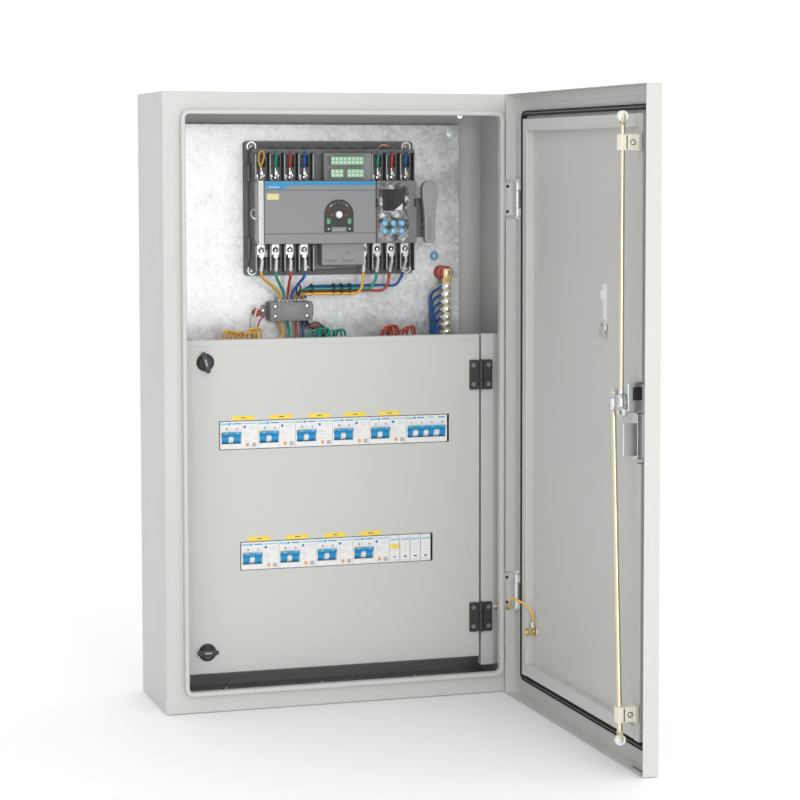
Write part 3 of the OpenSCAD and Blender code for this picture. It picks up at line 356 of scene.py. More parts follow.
nodeFinish = {
    "paint": ["cabinet_shell", "inner_frame", "outer_door", "inner_door"],
    "galvanised": ["mounting_plate", "gland_plate"],
    "zinc": ["plate_fasteners", "hinge_brackets", "hinge_pins", "door_hinge_leaves", "din_rails", "lock_housing",
             "lock_cam"],
    "passivated": ["upper_rod", "lower_rod"],
    "tinned": ["ats_terminals", "ats_spindle"],
    "brass": ["neutral_bar", "earth_studs"],
    "black": ["indicator_plate", "inner_hinge_posts", "inner_hinge_leaves", "upper_lock", "lower_lock",
              "lock_handle", "phase_barriers"],
    "darkGreyAndShade": ["ats_base", "ats_controller"],
    "midGrey": ["ats_housing", "aux_block", "terminal_block"],
    "handleGrey": ["ats_handle"],
    "white": ["rcbo_housings", "mcb_housing", "surge_protector", "upper_roller", "lower_roller", "key_bag"],
    "offWhite": ["rod_guides"],
    "blue": ["mcb_toggle"] + ["rcbo_toggle_%d" % i for i in range(1, 10)],
    "paleKey": ["controller_button_%d" % i for i in range(1, 7)],
    "redInsulator": ["bar_insulators"],
    "green": ["signal_terminals"],
    "rubber": ["door_gasket"],
    "wireYellow": ["power_wires", "control_wires"],
}
for finish, names in nodeFinish.items():
    for name in names:
        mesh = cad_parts[name].data
        mesh.materials.clear()
        mesh.materials.append(materials[finish])


# Shapes are drawn in millimetres, inside the cabinet or on the shut door.
def arcPoints(u, v, radius, start, end, steps):
    angles = (math.radians(start + (end - start) * k / steps) for k in range(steps + 1))
    return [(u + radius * math.cos(a), v + radius * math.sin(a)) for a in angles]


def roundRect(u, v, radius, steps=5):
    r = min(radius, (u[1] - u[0]) / 2 - 0.01, (v[1] - v[0]) / 2 - 0.01)
    corners = ((u[1] - r, v[1] - r, 0), (u[0] + r, v[1] - r, 90), (u[0] + r, v[0] + r, 180),
               (u[1] - r, v[0] + r, 270))
    return [p for cu, cv, a in corners for p in arcPoints(cu, cv, r, a, a + 90, steps)]


def circle(u, v, radius, steps=24):
    return arcPoints(u, v, radius, 0, 360, steps)[:-1]


def filleted(points, radii, steps=4):      # closed outline with a round at each corner that has one
    made = []
    for k, corner in enumerate(points):
        radius = radii[k] if k < len(radii) else 0
        here = Vector(corner)
        back, ahead = Vector(points[k - 1]) - here, Vector(points[(k + 1) % len(points)]) - here
        if radius <= 0:
            made.append(tuple(here))
            continue
        half = back.angle(ahead) / 2
        reach = radius / math.tan(half)
        centre = here + (back.normalized() + ahead.normalized()).normalized() * (radius / math.sin(half))
        first, last = here + back.normalized() * reach - centre, here + ahead.normalized() * reach - centre
        for step in range(steps + 1):
            made.append(tuple(centre + first.normalized().slerp(last.normalized(), step / steps) * radius))
    return made


def curveThrough(points, steps):           # smooth path through the given points
    made = []
    points = [Vector(p) for p in points]
    for i in range(len(points) - 1):
        a, b, c, d = points[max(i - 1, 0)], points[i], points[i + 1], points[min(i + 2, len(points) - 1)]
        for k in range(steps):
            u = k / steps
            bend = 2 * a - 5 * b + 4 * c - d
            made.append(0.5 * (2 * b + u * (c - a) + u * u * bend + u ** 3 * (3 * b - a - 3 * c + d)))
    return made + [points[-1]]


class Maker:
    def __init__(self, at=inCabinet):
        self.mesh, self.at, self.finishes = bmesh.new(), at, []

    def add(self, part, finish, turn=None):
        if finish not in self.finishes:
            self.finishes.append(finish)
        if turn:
            part.transform(turn)
        for face in part.faces:
            face.material_index = self.finishes.index(finish)
        bmesh.ops.recalc_face_normals(part, faces=part.faces)
        held = bpy.data.meshes.new("held")
        part.to_mesh(held)
        part.free()
        self.mesh.from_mesh(held)
        bpy.data.meshes.remove(held)

    def block(self, t, e, z, finish, soft=0.4, steps=2, turn=None):
        part = bmesh.new()
        bmesh.ops.create_cube(part, size=1)
        low, high = Vector((t[0], e[0], z[0])), Vector((t[1], e[1], z[1]))
        for vert in part.verts:
            vert.co = (low + high) / 2 + Vector(vert.co[k] * (high[k] - low[k]) for k in range(3))
        if soft:
            soft = min(soft, min(high - low) * 0.45)
            bmesh.ops.bevel(part, geom=part.edges[:], offset=soft, segments=steps, profile=0.5, affect="EDGES",
                            clamp_overlap=True)
        self.add(part, finish, turn)

    # axes: which of t, e, z the outline's two numbers and the thickness run along
    def plate(self, loops, span, finish, axes="tze", soft=0.0, turn=None):
        order = ["tez".index(letter) for letter in axes]
        part = bmesh.new()
        flat = [[Vector((u, v, 0)) for u, v in loop] for loop in loops]
        triangles = geometry.tessellate_polygon(flat)
        points = [p for loop in flat for p in loop]
        sides = []
        for level in span:
            ring = []
            for p in points:
                spot = [0.0, 0.0, 0.0]
                spot[order[0]], spot[order[1]], spot[order[2]] = p.x, p.y, level
                ring.append(part.verts.new(spot))
            sides.append(ring)
            for tri in triangles:
                part.faces.new([ring[k] for k in tri])
        first = 0
        for loop in flat:
            n = len(loop)
            for k in range(n):
                a, b = first + k, first + (k + 1) % n
                part.faces.new((sides[0][a], sides[0][b], sides[1][b], sides[1][a]))
            first += n
        bmesh.ops.recalc_face_normals(part, faces=part.faces)
        bmesh.ops.dissolve_limit(part, angle_limit=0.01, verts=part.verts, edges=part.edges)
        if soft:
            rim = [edge for edge in part.edges if len(edge.link_faces) == 2 and edge.calc_face_angle(0) > 1.2
                   and abs(edge.verts[0].co[order[2]] - edge.verts[1].co[order[2]]) < 1e-6]
            bmesh.ops.bevel(part, geom=rim, offset=soft, segments=2, profile=0.5, affect="EDGES", clamp_overlap=True)
        self.add(part, finish, turn)

    # profile: pairs of distance along the axis and radius
    def turned(self, centre, axis, profile, finish, sides=28, turn=None):
        along = Vector([letter == axis for letter in "tez"]) if isinstance(axis, str) else Vector(axis).normalized()
        across = along.orthogonal().normalized()
        third = along.cross(across)
        part, rings = bmesh.new(), []
        for distance, radius in profile:
            middle = Vector(centre) + along * distance
            count = sides if radius > 0 else 1
            rings.append([part.verts.new(middle + radius * (across * math.cos(math.tau * k / sides)
                          + third * math.sin(math.tau * k / sides))) for k in range(count)])
        for first, second in zip(rings, rings[1:]):
            for k in range(sides):
                corners = [first[k % len(first)], first[(k + 1) % len(first)], second[(k + 1) % len(second)],
                           second[k % len(second)]]
                corners = [c for i, c in enumerate(corners) if c not in corners[:i]]
                if len(corners) > 2:
                    part.faces.new(corners)
        for ring in (rings[0], rings[-1]):
            if len(ring) > 2:
                part.faces.new(ring)
        self.add(part, finish, turn)

    def tube(self, path, radius, finish, sides=10, flatten=1.0, closed=False):
        path = [Vector(p) for p in path]
        part, rings, count = bmesh.new(), [], len(path)
        normal = None
        for k, spot in enumerate(path):
            behind = path[k - 1] if k or closed else spot
            ahead = path[(k + 1) % count] if k < count - 1 or closed else spot
            along = (ahead - behind).normalized()
            if normal is None:
                normal = along.orthogonal().normalized()
            else:
                normal = (normal - along * normal.dot(along)).normalized()
            other = along.cross(normal)
            rings.append([part.verts.new(spot + radius * (normal * math.cos(math.tau * j / sides)
                          + other * flatten * math.sin(math.tau * j / sides))) for j in range(sides)])
        pairs = list(zip(rings, rings[1:])) + ([(rings[-1], rings[0])] if closed else [])
        for first, second in pairs:
            for j in range(sides):
                part.faces.new((first[j], first[(j + 1) % sides], second[(j + 1) % sides], second[j]))
        if not closed:
            part.faces.new(rings[0][::-1])
            part.faces.new(rings[-1])
        self.add(part, finish)

    # profile: closed outline of (inset, e) pairs, carried round a frame
    def frameSweep(self, profile, t, z, cornerAt, finish, steps=6):
        part, rings = bmesh.new(), []
        for inset, e in profile:
            outline = roundRect((t[0] + inset, t[1] - inset), (z[0] + inset, z[1] - inset),
                                max(cornerAt(inset), 0.05), steps)
            rings.append([part.verts.new((u, e, v)) for u, v in outline])
        count = len(rings[0])
        for k, first in enumerate(rings):
            second = rings[(k + 1) % len(rings)]
            for j in range(count):
                part.faces.new((first[j], first[(j + 1) % count], second[(j + 1) % count], second[j]))
        self.add(part, finish)

    def carve(self, cutter):               # cuts another maker's solids out of this one
        made = []
        for source in (self.mesh, cutter.mesh):
            mesh = bpy.data.meshes.new("held")
            source.to_mesh(mesh)
            made.append(bpy.data.objects.new("held", mesh))
            scene.collection.objects.link(made[-1])
        cut = made[0].modifiers.new("cut", "BOOLEAN")
        cut.operation, cut.object, cut.solver = "DIFFERENCE", made[1], "EXACT"
        bpy.context.view_layer.update()
        result = bpy.data.meshes.new_from_object(made[0].evaluated_get(bpy.context.evaluated_depsgraph_get()))
        self.mesh.clear()
        self.mesh.from_mesh(result)
        for thing in made:
            mesh = thing.data
            bpy.data.objects.remove(thing)
            bpy.data.meshes.remove(mesh)
        bpy.data.meshes.remove(result)

    def finish(self, name, body, slot, replaces=(), blendTo=None):
        self.mesh.transform(self.at)
        for face in self.mesh.faces:
            face.smooth = True
        for edge in self.mesh.edges:
            edge.smooth = len(edge.link_faces) != 2 or edge.calc_face_angle(0) < math.radians(40)
        mesh = bpy.data.meshes.new(name)
        self.mesh.to_mesh(mesh)
        self.mesh.free()
        for key in self.finishes:
            mesh.materials.append(materials[key])
        piece = bpy.data.objects.new(name, mesh)
        scene.collection.objects.link(piece)
        even = piece.modifiers.new("evenShading", "WEIGHTED_NORMAL")
        even.keep_sharp = True
        if blendTo:
            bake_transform(piece)
        else:
            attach(piece, body)
        if replaces:
            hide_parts(*replaces)


def about(middle, half):
    return middle - half, middle + half


def barrel(length, radius, chamfer, fall=None):    # profile of a rod with chamfered ends
    low = radius - (chamfer if fall is None else fall)
    return [(0, low), (chamfer, radius), (length - chamfer, radius), (length, low)]


def angles(count):         # evenly spaced once round
    return [math.tau * k / count for k in range(count)]


def spun(t, e, z, degrees, axis="Y"):      # turns a part about a point
    spot = Matrix.Translation((t, e, z))
    return spot @ Matrix.Rotation(math.radians(degrees), 4, axis) @ spot.inverted()


cabinet = {
    "size": (600, 200, 1000), "sheet": 1.5, "foldRadius": 2.2, "corner": 1.6,
    "lip": {"inset": 29, "width": 7, "proud": 12, "corner": 14},
    "wallHole": {"radius": 5, "inX": 38, "inZ": 32},
    "gland": {"width": 320, "depth": 100},
}


def buildCabinetBody():
    width, depth, height = cabinet["size"]
    s, lip, edge = cabinet["sheet"], cabinet["lip"], cabinet["corner"]
    a, b, front = lip["inset"], lip["inset"] + lip["width"], -lip["proud"]
    outline = [(0, depth), (0, 0), (a, 0), (a, front), (b, front), (b, s), (b - s, s), (b - s, front + s),
               (a + s, front + s), (a + s, s), (s, s), (s, depth)]
    profile = filleted(outline, [0, cabinet["foldRadius"], 0.6, 2.0, 2.0, 0.2, 0.2, 0.8, 0.8, 0, 1.0, 0])

    def corner(inset):
        if inset >= a:
            return lip["corner"] - (inset - a)
        return edge + max(0, inset - 3) / (a - 3) * (lip["corner"] - edge)

    shell = Maker()
    shell.frameSweep(profile, (0, width), (0, height), corner, "paint", 8)
    gland = cabinet["gland"]
    cutter = Maker()
    cutter.block(((width - gland["width"]) / 2, (width + gland["width"]) / 2),
                 ((depth - gland["depth"]) / 2, (depth + gland["depth"]) / 2), (-5, s + 2), "paint", 0)
    shell.carve(cutter)
    hole = cabinet["wallHole"]
    holes = [circle(t, z, hole["radius"], 28) for t in (hole["inX"], width - hole["inX"])
             for z in (hole["inZ"], height - hole["inZ"])]
    shell.plate([roundRect((s, width - s), (s, height - s), 0.6, 2)] + holes, (depth - s, depth), "paint")
    shell.finish("cabinetBody", "cabinet", "painted_steel", ["cabinet_shell"])


outerDoor = {
    "size": (600, 1000), "skin": -29, "rim": -4, "sheet": 1.5, "foldRadius": 2.4,
    "channelIn": 42, "channelWidth": 20, "channelHeight": 12.5, "hingeZ": (173, 827), "notch": 66,
    "lock": (66, 540), "edge": 16, "lockGap": (451, 574), "hingeSide": 8,
    "welds": {"first": 26, "pitch": 95, "count": 10},
}


def channelAlong(maker, low, high, run, axis):   # folded hat section with its two weld flanges
    e0, h = outerDoor["skin"] + outerDoor["sheet"], outerDoor["channelHeight"]
    outline = [(low, e0), (low, e0 + h), (high, e0 + h), (high, e0), (high - 1.2, e0), (high - 1.2, e0 + h - 1.2),
               (low + 1.2, e0 + h - 1.2), (low + 1.2, e0)]
    shape = filleted(outline, [0, 2.0, 2.0, 0, 0, 1.0, 1.0, 0])
    maker.plate([shape], run, "paint", "tez" if axis == "z" else "zet")


def buildOuterDoor():
    width, height = outerDoor["size"]
    skin, rim, s = outerDoor["skin"], outerDoor["rim"], outerDoor["sheet"]
    door = Maker(onDoor)
    edge, lockGap = outerDoor["edge"], outerDoor["lockGap"]
    outline = [(edge, skin), (0, skin), (0, rim), (s, rim), (s, skin + s), (edge, skin + s)]
    profile = filleted(outline, [0, outerDoor["foldRadius"], 0.4, 0.4, 1.2, 0])
    door.frameSweep(profile, (0, width), (0, height), lambda inset: 2.2 if inset < 3 else 2.0, "paint", 4)
    cutter = Maker(onDoor)
    for z in outerDoor["hingeZ"]:
        cutter.block((width - s - 1, width + 2), (skin + s, 4),
                     (z - outerDoor["notch"] / 2, z + outerDoor["notch"] / 2), "paint", 0)
    door.carve(cutter)
    lockT, lockZ = outerDoor["lock"]
    door.plate([roundRect((edge, width - edge), (edge, height - edge), 2.0, 4), circle(lockT, lockZ, 8, 28)],
               (skin, skin + s), "paint")
    a = outerDoor["channelIn"]
    b, far = a + outerDoor["channelWidth"], width - outerDoor["hingeSide"]
    channelAlong(door, a, b, (a, lockGap[0]), "z")
    channelAlong(door, a, b, (lockGap[1], height - a), "z")
    channelAlong(door, far - b, far - a, (a, height - a), "z")
    channelAlong(door, a, b, (b, far - b), "t")
    channelAlong(door, height - b, height - a, (b, far - b), "t")
    welds = outerDoor["welds"]
    for k in range(welds["count"]):        # spot-weld dimples beside the hinge-side channel
        door.turned((width - a + 1, skin + s + 0.05, a + welds["first"] + welds["pitch"] * k), "e",
                    [(0, 2.4), (0.12, 2.0), (0.06, 0.8), (0.05, 0)], "paint", 14)
    door.finish("outerDoorPanel", "outer_door", "painted_steel", ["outer_door"])
    buildDoorSeal(width, height, skin + s)
    buildEarthStud()


doorSeal = {"from": 28, "corner": 14, "ridges": ((28.4, 31.6), (33.4, 36.6)), "web": (31, 34), "height": 8.2}


def buildDoorSeal(width, height, base):    # two rubber ridges with a lighter grey web between them, a painted highlight down the seal's groove
    def corner(inset):
        return doorSeal["corner"] - (inset - doorSeal["from"])

    seal, tall = Maker(onDoor), doorSeal["height"]
    for low, high in doorSeal["ridges"]:
        rise = [(low, 0), (low, tall - 1.8), (low + 0.5, tall - 0.6), (low + 1.6, tall), (high - 0.5, tall - 0.6),
                (high, tall - 1.8), (high, 0)]
        seal.frameSweep([(inset, base + up) for inset, up in rise], (0, width), (0, height), corner, "rubber", 8)
    low, high = doorSeal["web"]
    rise = [(low, 0), (low, tall - 2.6), ((low + high) / 2, tall - 2), (high, tall - 2.6), (high, 0)]
    # grey web between the ridges: a painted highlight along the seal's groove
    seal.frameSweep([(inset, base + up) for inset, up in rise], (0, width), (0, height), corner, "sealGrooveHighlight", 8)
    seal.finish("doorSeal", "outer_door", "seal_rubber", ["door_gasket"])


earthStud = {"base": 9, "thread": 3, "turns": 47, "nut": (8, 5.0), "washers": ((3.1, 1.2), (14.2, 1.0))}


def buildEarthStud():
    low, high = millimetres("earth_studs", onDoor)
    t, z, e = (low[0] + high[0]) / 2, (low[2] + high[2]) / 2, low[1]
    base, thread = earthStud["base"], earthStud["thread"]
    stud = Maker(onDoor)
    stud.turned((t, e, z), "e", [(0, base), (1.4, base), (2, base - 0.6), (2, 3.2)], "zinc")
    ridges = [(0.6 + 0.4 * k, 2.65 if k % 2 else thread) for k in range(earthStud["turns"])]
    stud.turned((t, e + 2, z), "e", [(0, thread), (0.2, thread)] + ridges + [(19.9, 2.3), (20, 0)], "brass", 20)
    parts = [(earthStud["nut"], 6, 0.5, 6)] + [(washer, 7.4, 0.2, 24) for washer in earthStud["washers"]]
    for (at, size), radius, rim, sides in parts:
        profile = [(0, 3.05)] + barrel(size, radius, rim) + [(size, 3.05)]
        stud.turned((t, e + at, z), "e", profile, "brass", sides)
    stud.finish("earthStud", "outer_door", "brass", ["earth_studs"])
    buildEarthLead(t, e, z)


# Bonding lead from the frame strip to the door's stud, with slack in its route.
earthLead = {"radius": 1.7, "over": 2, "from": (572, 36, 138), "stud": 5.6}


def buildEarthLead(studT, studE, studZ):
    across = inCabinet.inverted() @ onDoor
    end = across @ Vector((studT, studE + earthLead["stud"], studZ + 7.6))
    before = across @ Vector((studT + 2, studE + earthLead["stud"] + 2, studZ + 34))
    start = Vector(earthLead["from"])
    lead = Maker()
    over = across @ Vector((studT + 26, earthLead["over"], studZ + 52))
    route = curveThrough([start, start + Vector((2, -18, 6)), start + Vector((8, -42, 4)), over, before, end], 10)
    lead.tube(route, earthLead["radius"], "wireYellow", 10)
    for spot, ahead in ((route[0], route[2]), (route[-1], route[-3])):
        lead.turned(spot, ahead - spot, [(-1, 2.6), (7, 2.6), (8, 2.2)], "tinned", 14)
    lead.turned(start + Vector((0, 1, 0)), "e", [(-2.6, 5.2), (-2.2, 5.8), (0, 5.8)], "zinc", 6)
    world = [inCabinet @ p for p in route]
    lead.finish("earthLead", "cabinet", "wire_cover", (), ("outer_door", tuple(world[6]), tuple(world[-14])))


breaker = {
    "noseHeight": 45, "bodyHeight": 81, "noseFront": 35, "railFace": 95, "toggleE": 44, "toggleDrop": -5,
    "toggleLean": 32, "toggleIn": 3, "moduleWidth": 63, "wideWidth": 72, "polePitch": 18, "clear": 0.15,
    "well": 9, "terminalE": 51, "terminalIn": 9,
    "rows": ((98.5, 445, 5), (132.5, 246, 4)),
}

innerDoor = {
    "sheet": 1.5, "fold": 15, "foldRadius": 1.8, "edge": 10, "lockIn": (33, 36), "lockHole": 7.05,
    "windows": (("mcb_housing", 445, 98.5), ("surge_protector", 246, 132.5)), "windowHalf": 23.5,
}


def buildInnerDoor():
    low, high = millimetres("inner_door")
    t, z, face = (low[0], high[0]), (low[2], high[2]), low[1]
    s, edge, fold = innerDoor["sheet"], innerDoor["edge"], innerDoor["fold"]
    panel = Maker()
    outline = [(edge, face), (0, face), (0, face + fold), (s, face + fold), (s, face + s), (edge, face + s)]
    profile = filleted(outline, [0, innerDoor["foldRadius"], 0.3, 0.3, 0.6, 0])
    panel.frameSweep(profile, t, z, lambda inset: 1.2, "paint", 3)
    windows, half = [], innerDoor["windowHalf"]
    for last, middle, left in innerDoor["windows"]:        # each runs from the first device to the last
        right = millimetres(last)[1][0] + breaker["clear"]
        windows.append(roundRect((left - 1, right + 4), about(middle, half), 0.8, 2))
    locks = [circle(t[0] + innerDoor["lockIn"][0], level, innerDoor["lockHole"], 28)
             for level in (z[0] + innerDoor["lockIn"][1], z[1] - innerDoor["lockIn"][1])]
    sheet = roundRect((t[0] + edge, t[1] - edge), (z[0] + edge, z[1] - edge), 1.2, 3)
    panel.plate([sheet] + windows + locks, (face, face + s), "paint")
    panel.finish("innerDoorPanel", "inner_door", "painted_steel", ["inner_door"])


def buildTurnLock(name, tilt):
    panelLow, panelHigh = millimetres("inner_door")
    t, e = panelLow[0] + innerDoor["lockIn"][0], panelLow[1]
    z = panelHigh[2] - innerDoor["lockIn"][1] if name == "upper_lock" else panelLow[2] + innerDoor["lockIn"][1]
    knob = Maker()
    knob.turned((t, e, z), "e", [(-0.3, 14.5), (-1.4, 14.5), (-2.6, 13.6), (-3.2, 12.4), (-4.2, 12.0), (-4.8, 11.2),
                                 (-4.2, 10.2), (-3.6, 9.4), (-3.6, 0)], "black", 40)
    wing = filleted([(-17.5, -3), (-8, -5), (8, -5), (17.5, -3), (17.5, 3), (8, 5), (-8, 5), (-17.5, 3)],
                    [2.6, 3, 3, 2.6, 2.6, 3, 3, 2.6])
    knob.plate([[(t + u, z + v) for u, v in wing]], (e - 9, e - 3.6), "black", soft=1.2, turn=spun(t, e, z, tilt))
    knob.plate([[(t + u, z + v) for u, v in roundRect((-6, 6), (-1.2, 1.2), 1, 3)]], (e - 9.05, e - 8.9),
               "printGreyAndHighlight", turn=spun(t, e, z, tilt))
    knob.turned((t, e, z), "e", [(-2, 7), (23.5, 7), (24, 6.5), (24, 0)], "zinc", 24)
    knob.plate([roundRect(about(t, 8), (z - 8, z + 36), 4, 4)], (e + 21, e + 24), "zinc", soft=0.5)
    knob.turned((t, e + 3, z), "e", [(0, 7.1), (0, 11.5), (5, 11.5), (5, 7.1)], "black", 6)
    knob.finish(name + "Knob", name, "black_plastic", [name])


innerHinge = {"centres": (123, 533), "half": 25, "reach": 20, "barrel": 4, "depth": (32.5, 37), "middle": 8.1}


def buildInnerHinges():
    gap = millimetres("inner_hinge_leaves")[1][0] - innerHinge["barrel"]
    depth, half, reach = innerHinge["depth"], innerHinge["half"], innerHinge["reach"]
    for node, body, way in (("inner_hinge_leaves", "inner_door", -1), ("inner_hinge_posts", "cabinet", 1)):
        hinge = Maker()
        for middle in innerHinge["centres"]:
            own = innerHinge["middle"]
            spans = [about(middle, own)]
            if way > 0:
                spans = [(middle - half, middle - own - 0.4), (middle + own + 0.4, middle + half)]
            for span in spans:
                hinge.turned((gap, depth[0], span[0]), "z", barrel(span[1] - span[0], innerHinge["barrel"], 0.5),
                             "black", 24)
                hinge.block(sorted((gap + way * 0.2, gap + way * 6)), depth, span, "black", 0.3)
            side = sorted((gap + way * 4.6, gap + way * reach))
            hinge.plate([roundRect(side, about(middle, half), 2.4)], depth, "black", soft=0.9)
            for z in about(middle, 16):
                t = (side[0] + side[1]) / 2 + way
                hinge.turned((t, depth[0], z), "e", [(-0.05, 4.4), (-0.05, 3.9), (0.5, 3.5), (0.5, 0)], "darkGreyAndShade",
                             20)
                # dark bar on the screw head: painted shade of its slot
                hinge.plate([roundRect(about(t, 3), about(z, 0.5), 0.3, 2)], (depth[0] + 0.4, depth[0] + 0.48),
                            "printDarkAndShade")
            if way > 0:
                hinge.turned((gap, depth[0], middle - half), "z", [(0, 1.6), (2 * half, 1.6)], "zinc", 16)
        hinge.finish("innerHinge" + ("Leaves" if way < 0 else "Posts"), body, "black_plastic", [node])


buildCabinetBody()
buildOuterDoor()
buildInnerDoor()
buildTurnLock("upper_lock", 75)
buildTurnLock("lower_lock", 0)
buildInnerHinges()
print("sheet metal made")

def deviceOutline(z):      # side view as (e, z): rail jaws, shoulders and the raised nose
    rail, nose = breaker["railFace"], breaker["noseFront"]
    half, tall = breaker["noseHeight"] / 2, breaker["bodyHeight"] / 2
    shape = [(rail + 4, 24), (rail + 4, 18.2), (rail - 0.1, 18.2), (rail - 0.1, -18.2), (rail + 4, -18.2),
             (rail + 4, -24), (rail - 1, -tall), (rail - 44, -tall), (rail - 44, -half), (nose, -half), (nose, half),
             (rail - 44, half), (rail - 44, tall), (rail - 1, tall)]
    rounds = [1, 0.3, 0.3, 0.3, 0.3, 1, 1, 1.2, 1.0, 0.9, 0.9, 1.0, 1.2, 1]
    return [(e, z + h) for e, h in filleted(shape, rounds, 3)]


def addDevice(maker, left, z, width, poles, pocket):
    nose, well, clear = breaker["noseFront"], breaker["well"], breaker["clear"]
    toggleZ = z + breaker["toggleDrop"]
    cuts = [left + clear] + [left + breaker["polePitch"] * k for k in range(1, poles)] + [left + width - clear]
    for a, b in zip(cuts, cuts[1:]):
        low, high = a + 0.08, b - 0.08
        outline = deviceOutline(z)
        if pocket and b > pocket[0] and a < pocket[1]:
            arc = [(max(e, nose), v) for e, v in arcPoints(breaker["toggleE"], toggleZ, well, -90, 90, 12)]
            arc = [(nose, toggleZ - well)] + arc + [(nose, toggleZ + well)]
            cut = next(k for k, (p, q) in enumerate(zip(outline, outline[1:]))
                       if p[0] <= nose + 0.02 and q[0] <= nose + 0.02 and abs(q[1] - p[1]) > 20)
            if outline[cut][1] > outline[cut + 1][1]:
                arc = arc[::-1]
            cupped = outline[:cut + 1] + arc + outline[cut + 1:]
            inner = (max(low, pocket[0]), min(high, pocket[1]))
            for span, shape in (((low, inner[0]), outline), (inner, cupped), ((inner[1], high), outline)):
                if span[1] - span[0] > 0.05:
                    maker.plate([shape], span, "white", "ezt")
        else:
            maker.plate([outline], (low, high), "white", "ezt", soft=0.25)
        for side in (-1, 1):       # terminal screw in its funnel, top and bottom; the funnel is a flat dark grey disc, painted shade of the recess
            spot = ((a + b) / 2, breaker["terminalE"], z + side * (breaker["bodyHeight"] / 2 - breaker["terminalIn"]))
            maker.turned(spot, "e", [(-0.02, 4.3), (-0.02, 3.9), (0.01, 3.3), (0.02, 0)], "darkGreyAndShade", 18)
            maker.turned(spot, "e", [(-0.12, 0), (-0.12, 2.4), (-0.03, 2.6)], "zinc", 16)


def flatMark(maker, t, z, finish, face=None, rise=0.12):
    face = breaker["noseFront"] if face is None else face
    maker.block(t, (face - rise, face + 0.05), z, finish, 0)


def addFlash(maker, left, right, top):     # pale strip with a blue slanted end, in the top corner
    flatMark(maker, (left, right), (top - 5.4, top - 2.2), "printSky")
    slant = [(right, top - 5.4), (right + 2.4, top - 5.4), (right + 4, top - 2.2), (right, top - 2.2)]
    maker.plate([slant], (breaker["noseFront"] - 0.14, breaker["noseFront"] + 0.05), "skyBlue")


def addRcboFace(maker, left, z):
    top, low = z + breaker["noseHeight"] / 2, z - breaker["noseHeight"] / 2
    addFlash(maker, left + 1, left + 15, top)
    flatMark(maker, (left + 21, left + 35), (top - 4.6, top - 2.6), "skyBlue")
    flatMark(maker, (left + 38, left + 61), (top - 4.6, top - 2.6), "printSky")
    for k in (0, 1):               # status windows over the two levers
        flatMark(maker, (left + 10.2 + 17 * k, left + 12.6 + 17 * k), (top - 12.6, top - 10.4),
                 "printRed" if k else "printDarkAndShade")
        flatMark(maker, (left + 8.6 + 17 * k, left + 14.2 + 17 * k), (top - 13.8, top - 13.4), "printGreyAndHighlight")
    flatMark(maker, (left + 2.4, left + 20), (z + 3.2, z + 6.2), "yellowLabel", rise=0.16)
    maker.turned((left + 41, 35, z + 13.4), "e", [(-0.35, 0), (-0.35, 1.9), (-0.1, 2.3), (0.05, 2.3)], "printBlue",
                 20)
    for row, (a, b) in enumerate(((47, 60), (47, 58), (40, 45), (40, 52), (40, 49), (55, 60), (40, 46))):
        zed = z + 13.6 - 3.4 * row - (2 if row > 1 else 0)
        flatMark(maker, (left + a, left + b), about(zed, 0.25), "printGreyAndHighlight", rise=0.1)
    maker.block((left + 42, left + 49), (34.4, 35.2), (low + 3.4, low + 10.4), "white", 0.3)
    maker.turned((left + 45.5, 34.4, low + 6.9), "e", [(-1.0, 0), (-1.0, 2.0), (-0.6, 2.6), (0.1, 2.6)], "orange", 20)
    flatMark(maker, (left + 53, left + 60), (low + 3.0, low + 9.6), "printGreyAndHighlight", rise=0.08)
    flatMark(maker, (left + 36.2, left + 36.5), (low, top), "printGreyAndHighlight", rise=0.04)
    flatMark(maker, (left + 62.75, left + 62.95), (low, top), "printGreyAndHighlight", rise=0.04)


def buildBreakers():
    count = 0
    housings = Maker()
    for start, z, number in breaker["rows"]:
        for k in range(number):
            left = start + k * breaker["moduleWidth"]
            addDevice(housings, left, z, breaker["moduleWidth"], 2, (left + 2.5, left + 35))
            addRcboFace(housings, left, z)
            count += 1
            buildToggle("rcbo_toggle_%d" % count, left + breaker["toggleIn"], z, [(0.3, 12), (19.5, 31.2)])
    housings.finish("rcboHousings", "cabinet", "white_plastic", ["rcbo_housings"])
    wide = Maker()
    start, z, number = breaker["rows"][0]
    left = start + number * breaker["moduleWidth"]
    addDevice(wide, left, z, breaker["wideWidth"], 4, (left + 3, left + 69))
    top = z + breaker["noseHeight"] / 2
    addFlash(wide, left + 1, left + 14, top)
    for k in range(4):
        pole = left + breaker["polePitch"] * k
        if k:
            flatMark(wide, (pole + 2, pole + 14), (top - 4.6, top - 2.6), "skyBlue" if k % 2 else "printSky")
        flatMark(wide, (pole + 8.3, pole + 10.5), (top - 12.8, top - 10.8), "printDarkAndShade")
    flatMark(wide, (left + 2.4, left + 22), (z + 3.2, z + 6.2), "yellowLabel", rise=0.16)
    wide.finish("mcbHousing", "cabinet", "white_plastic", ["mcb_housing"])
    buildToggle("mcb_toggle", left + 3.5, z, [(0, 9.5), (18, 28), (36, 46), (55, 65)])
    buildSurgeProtector()
    buildStickers()


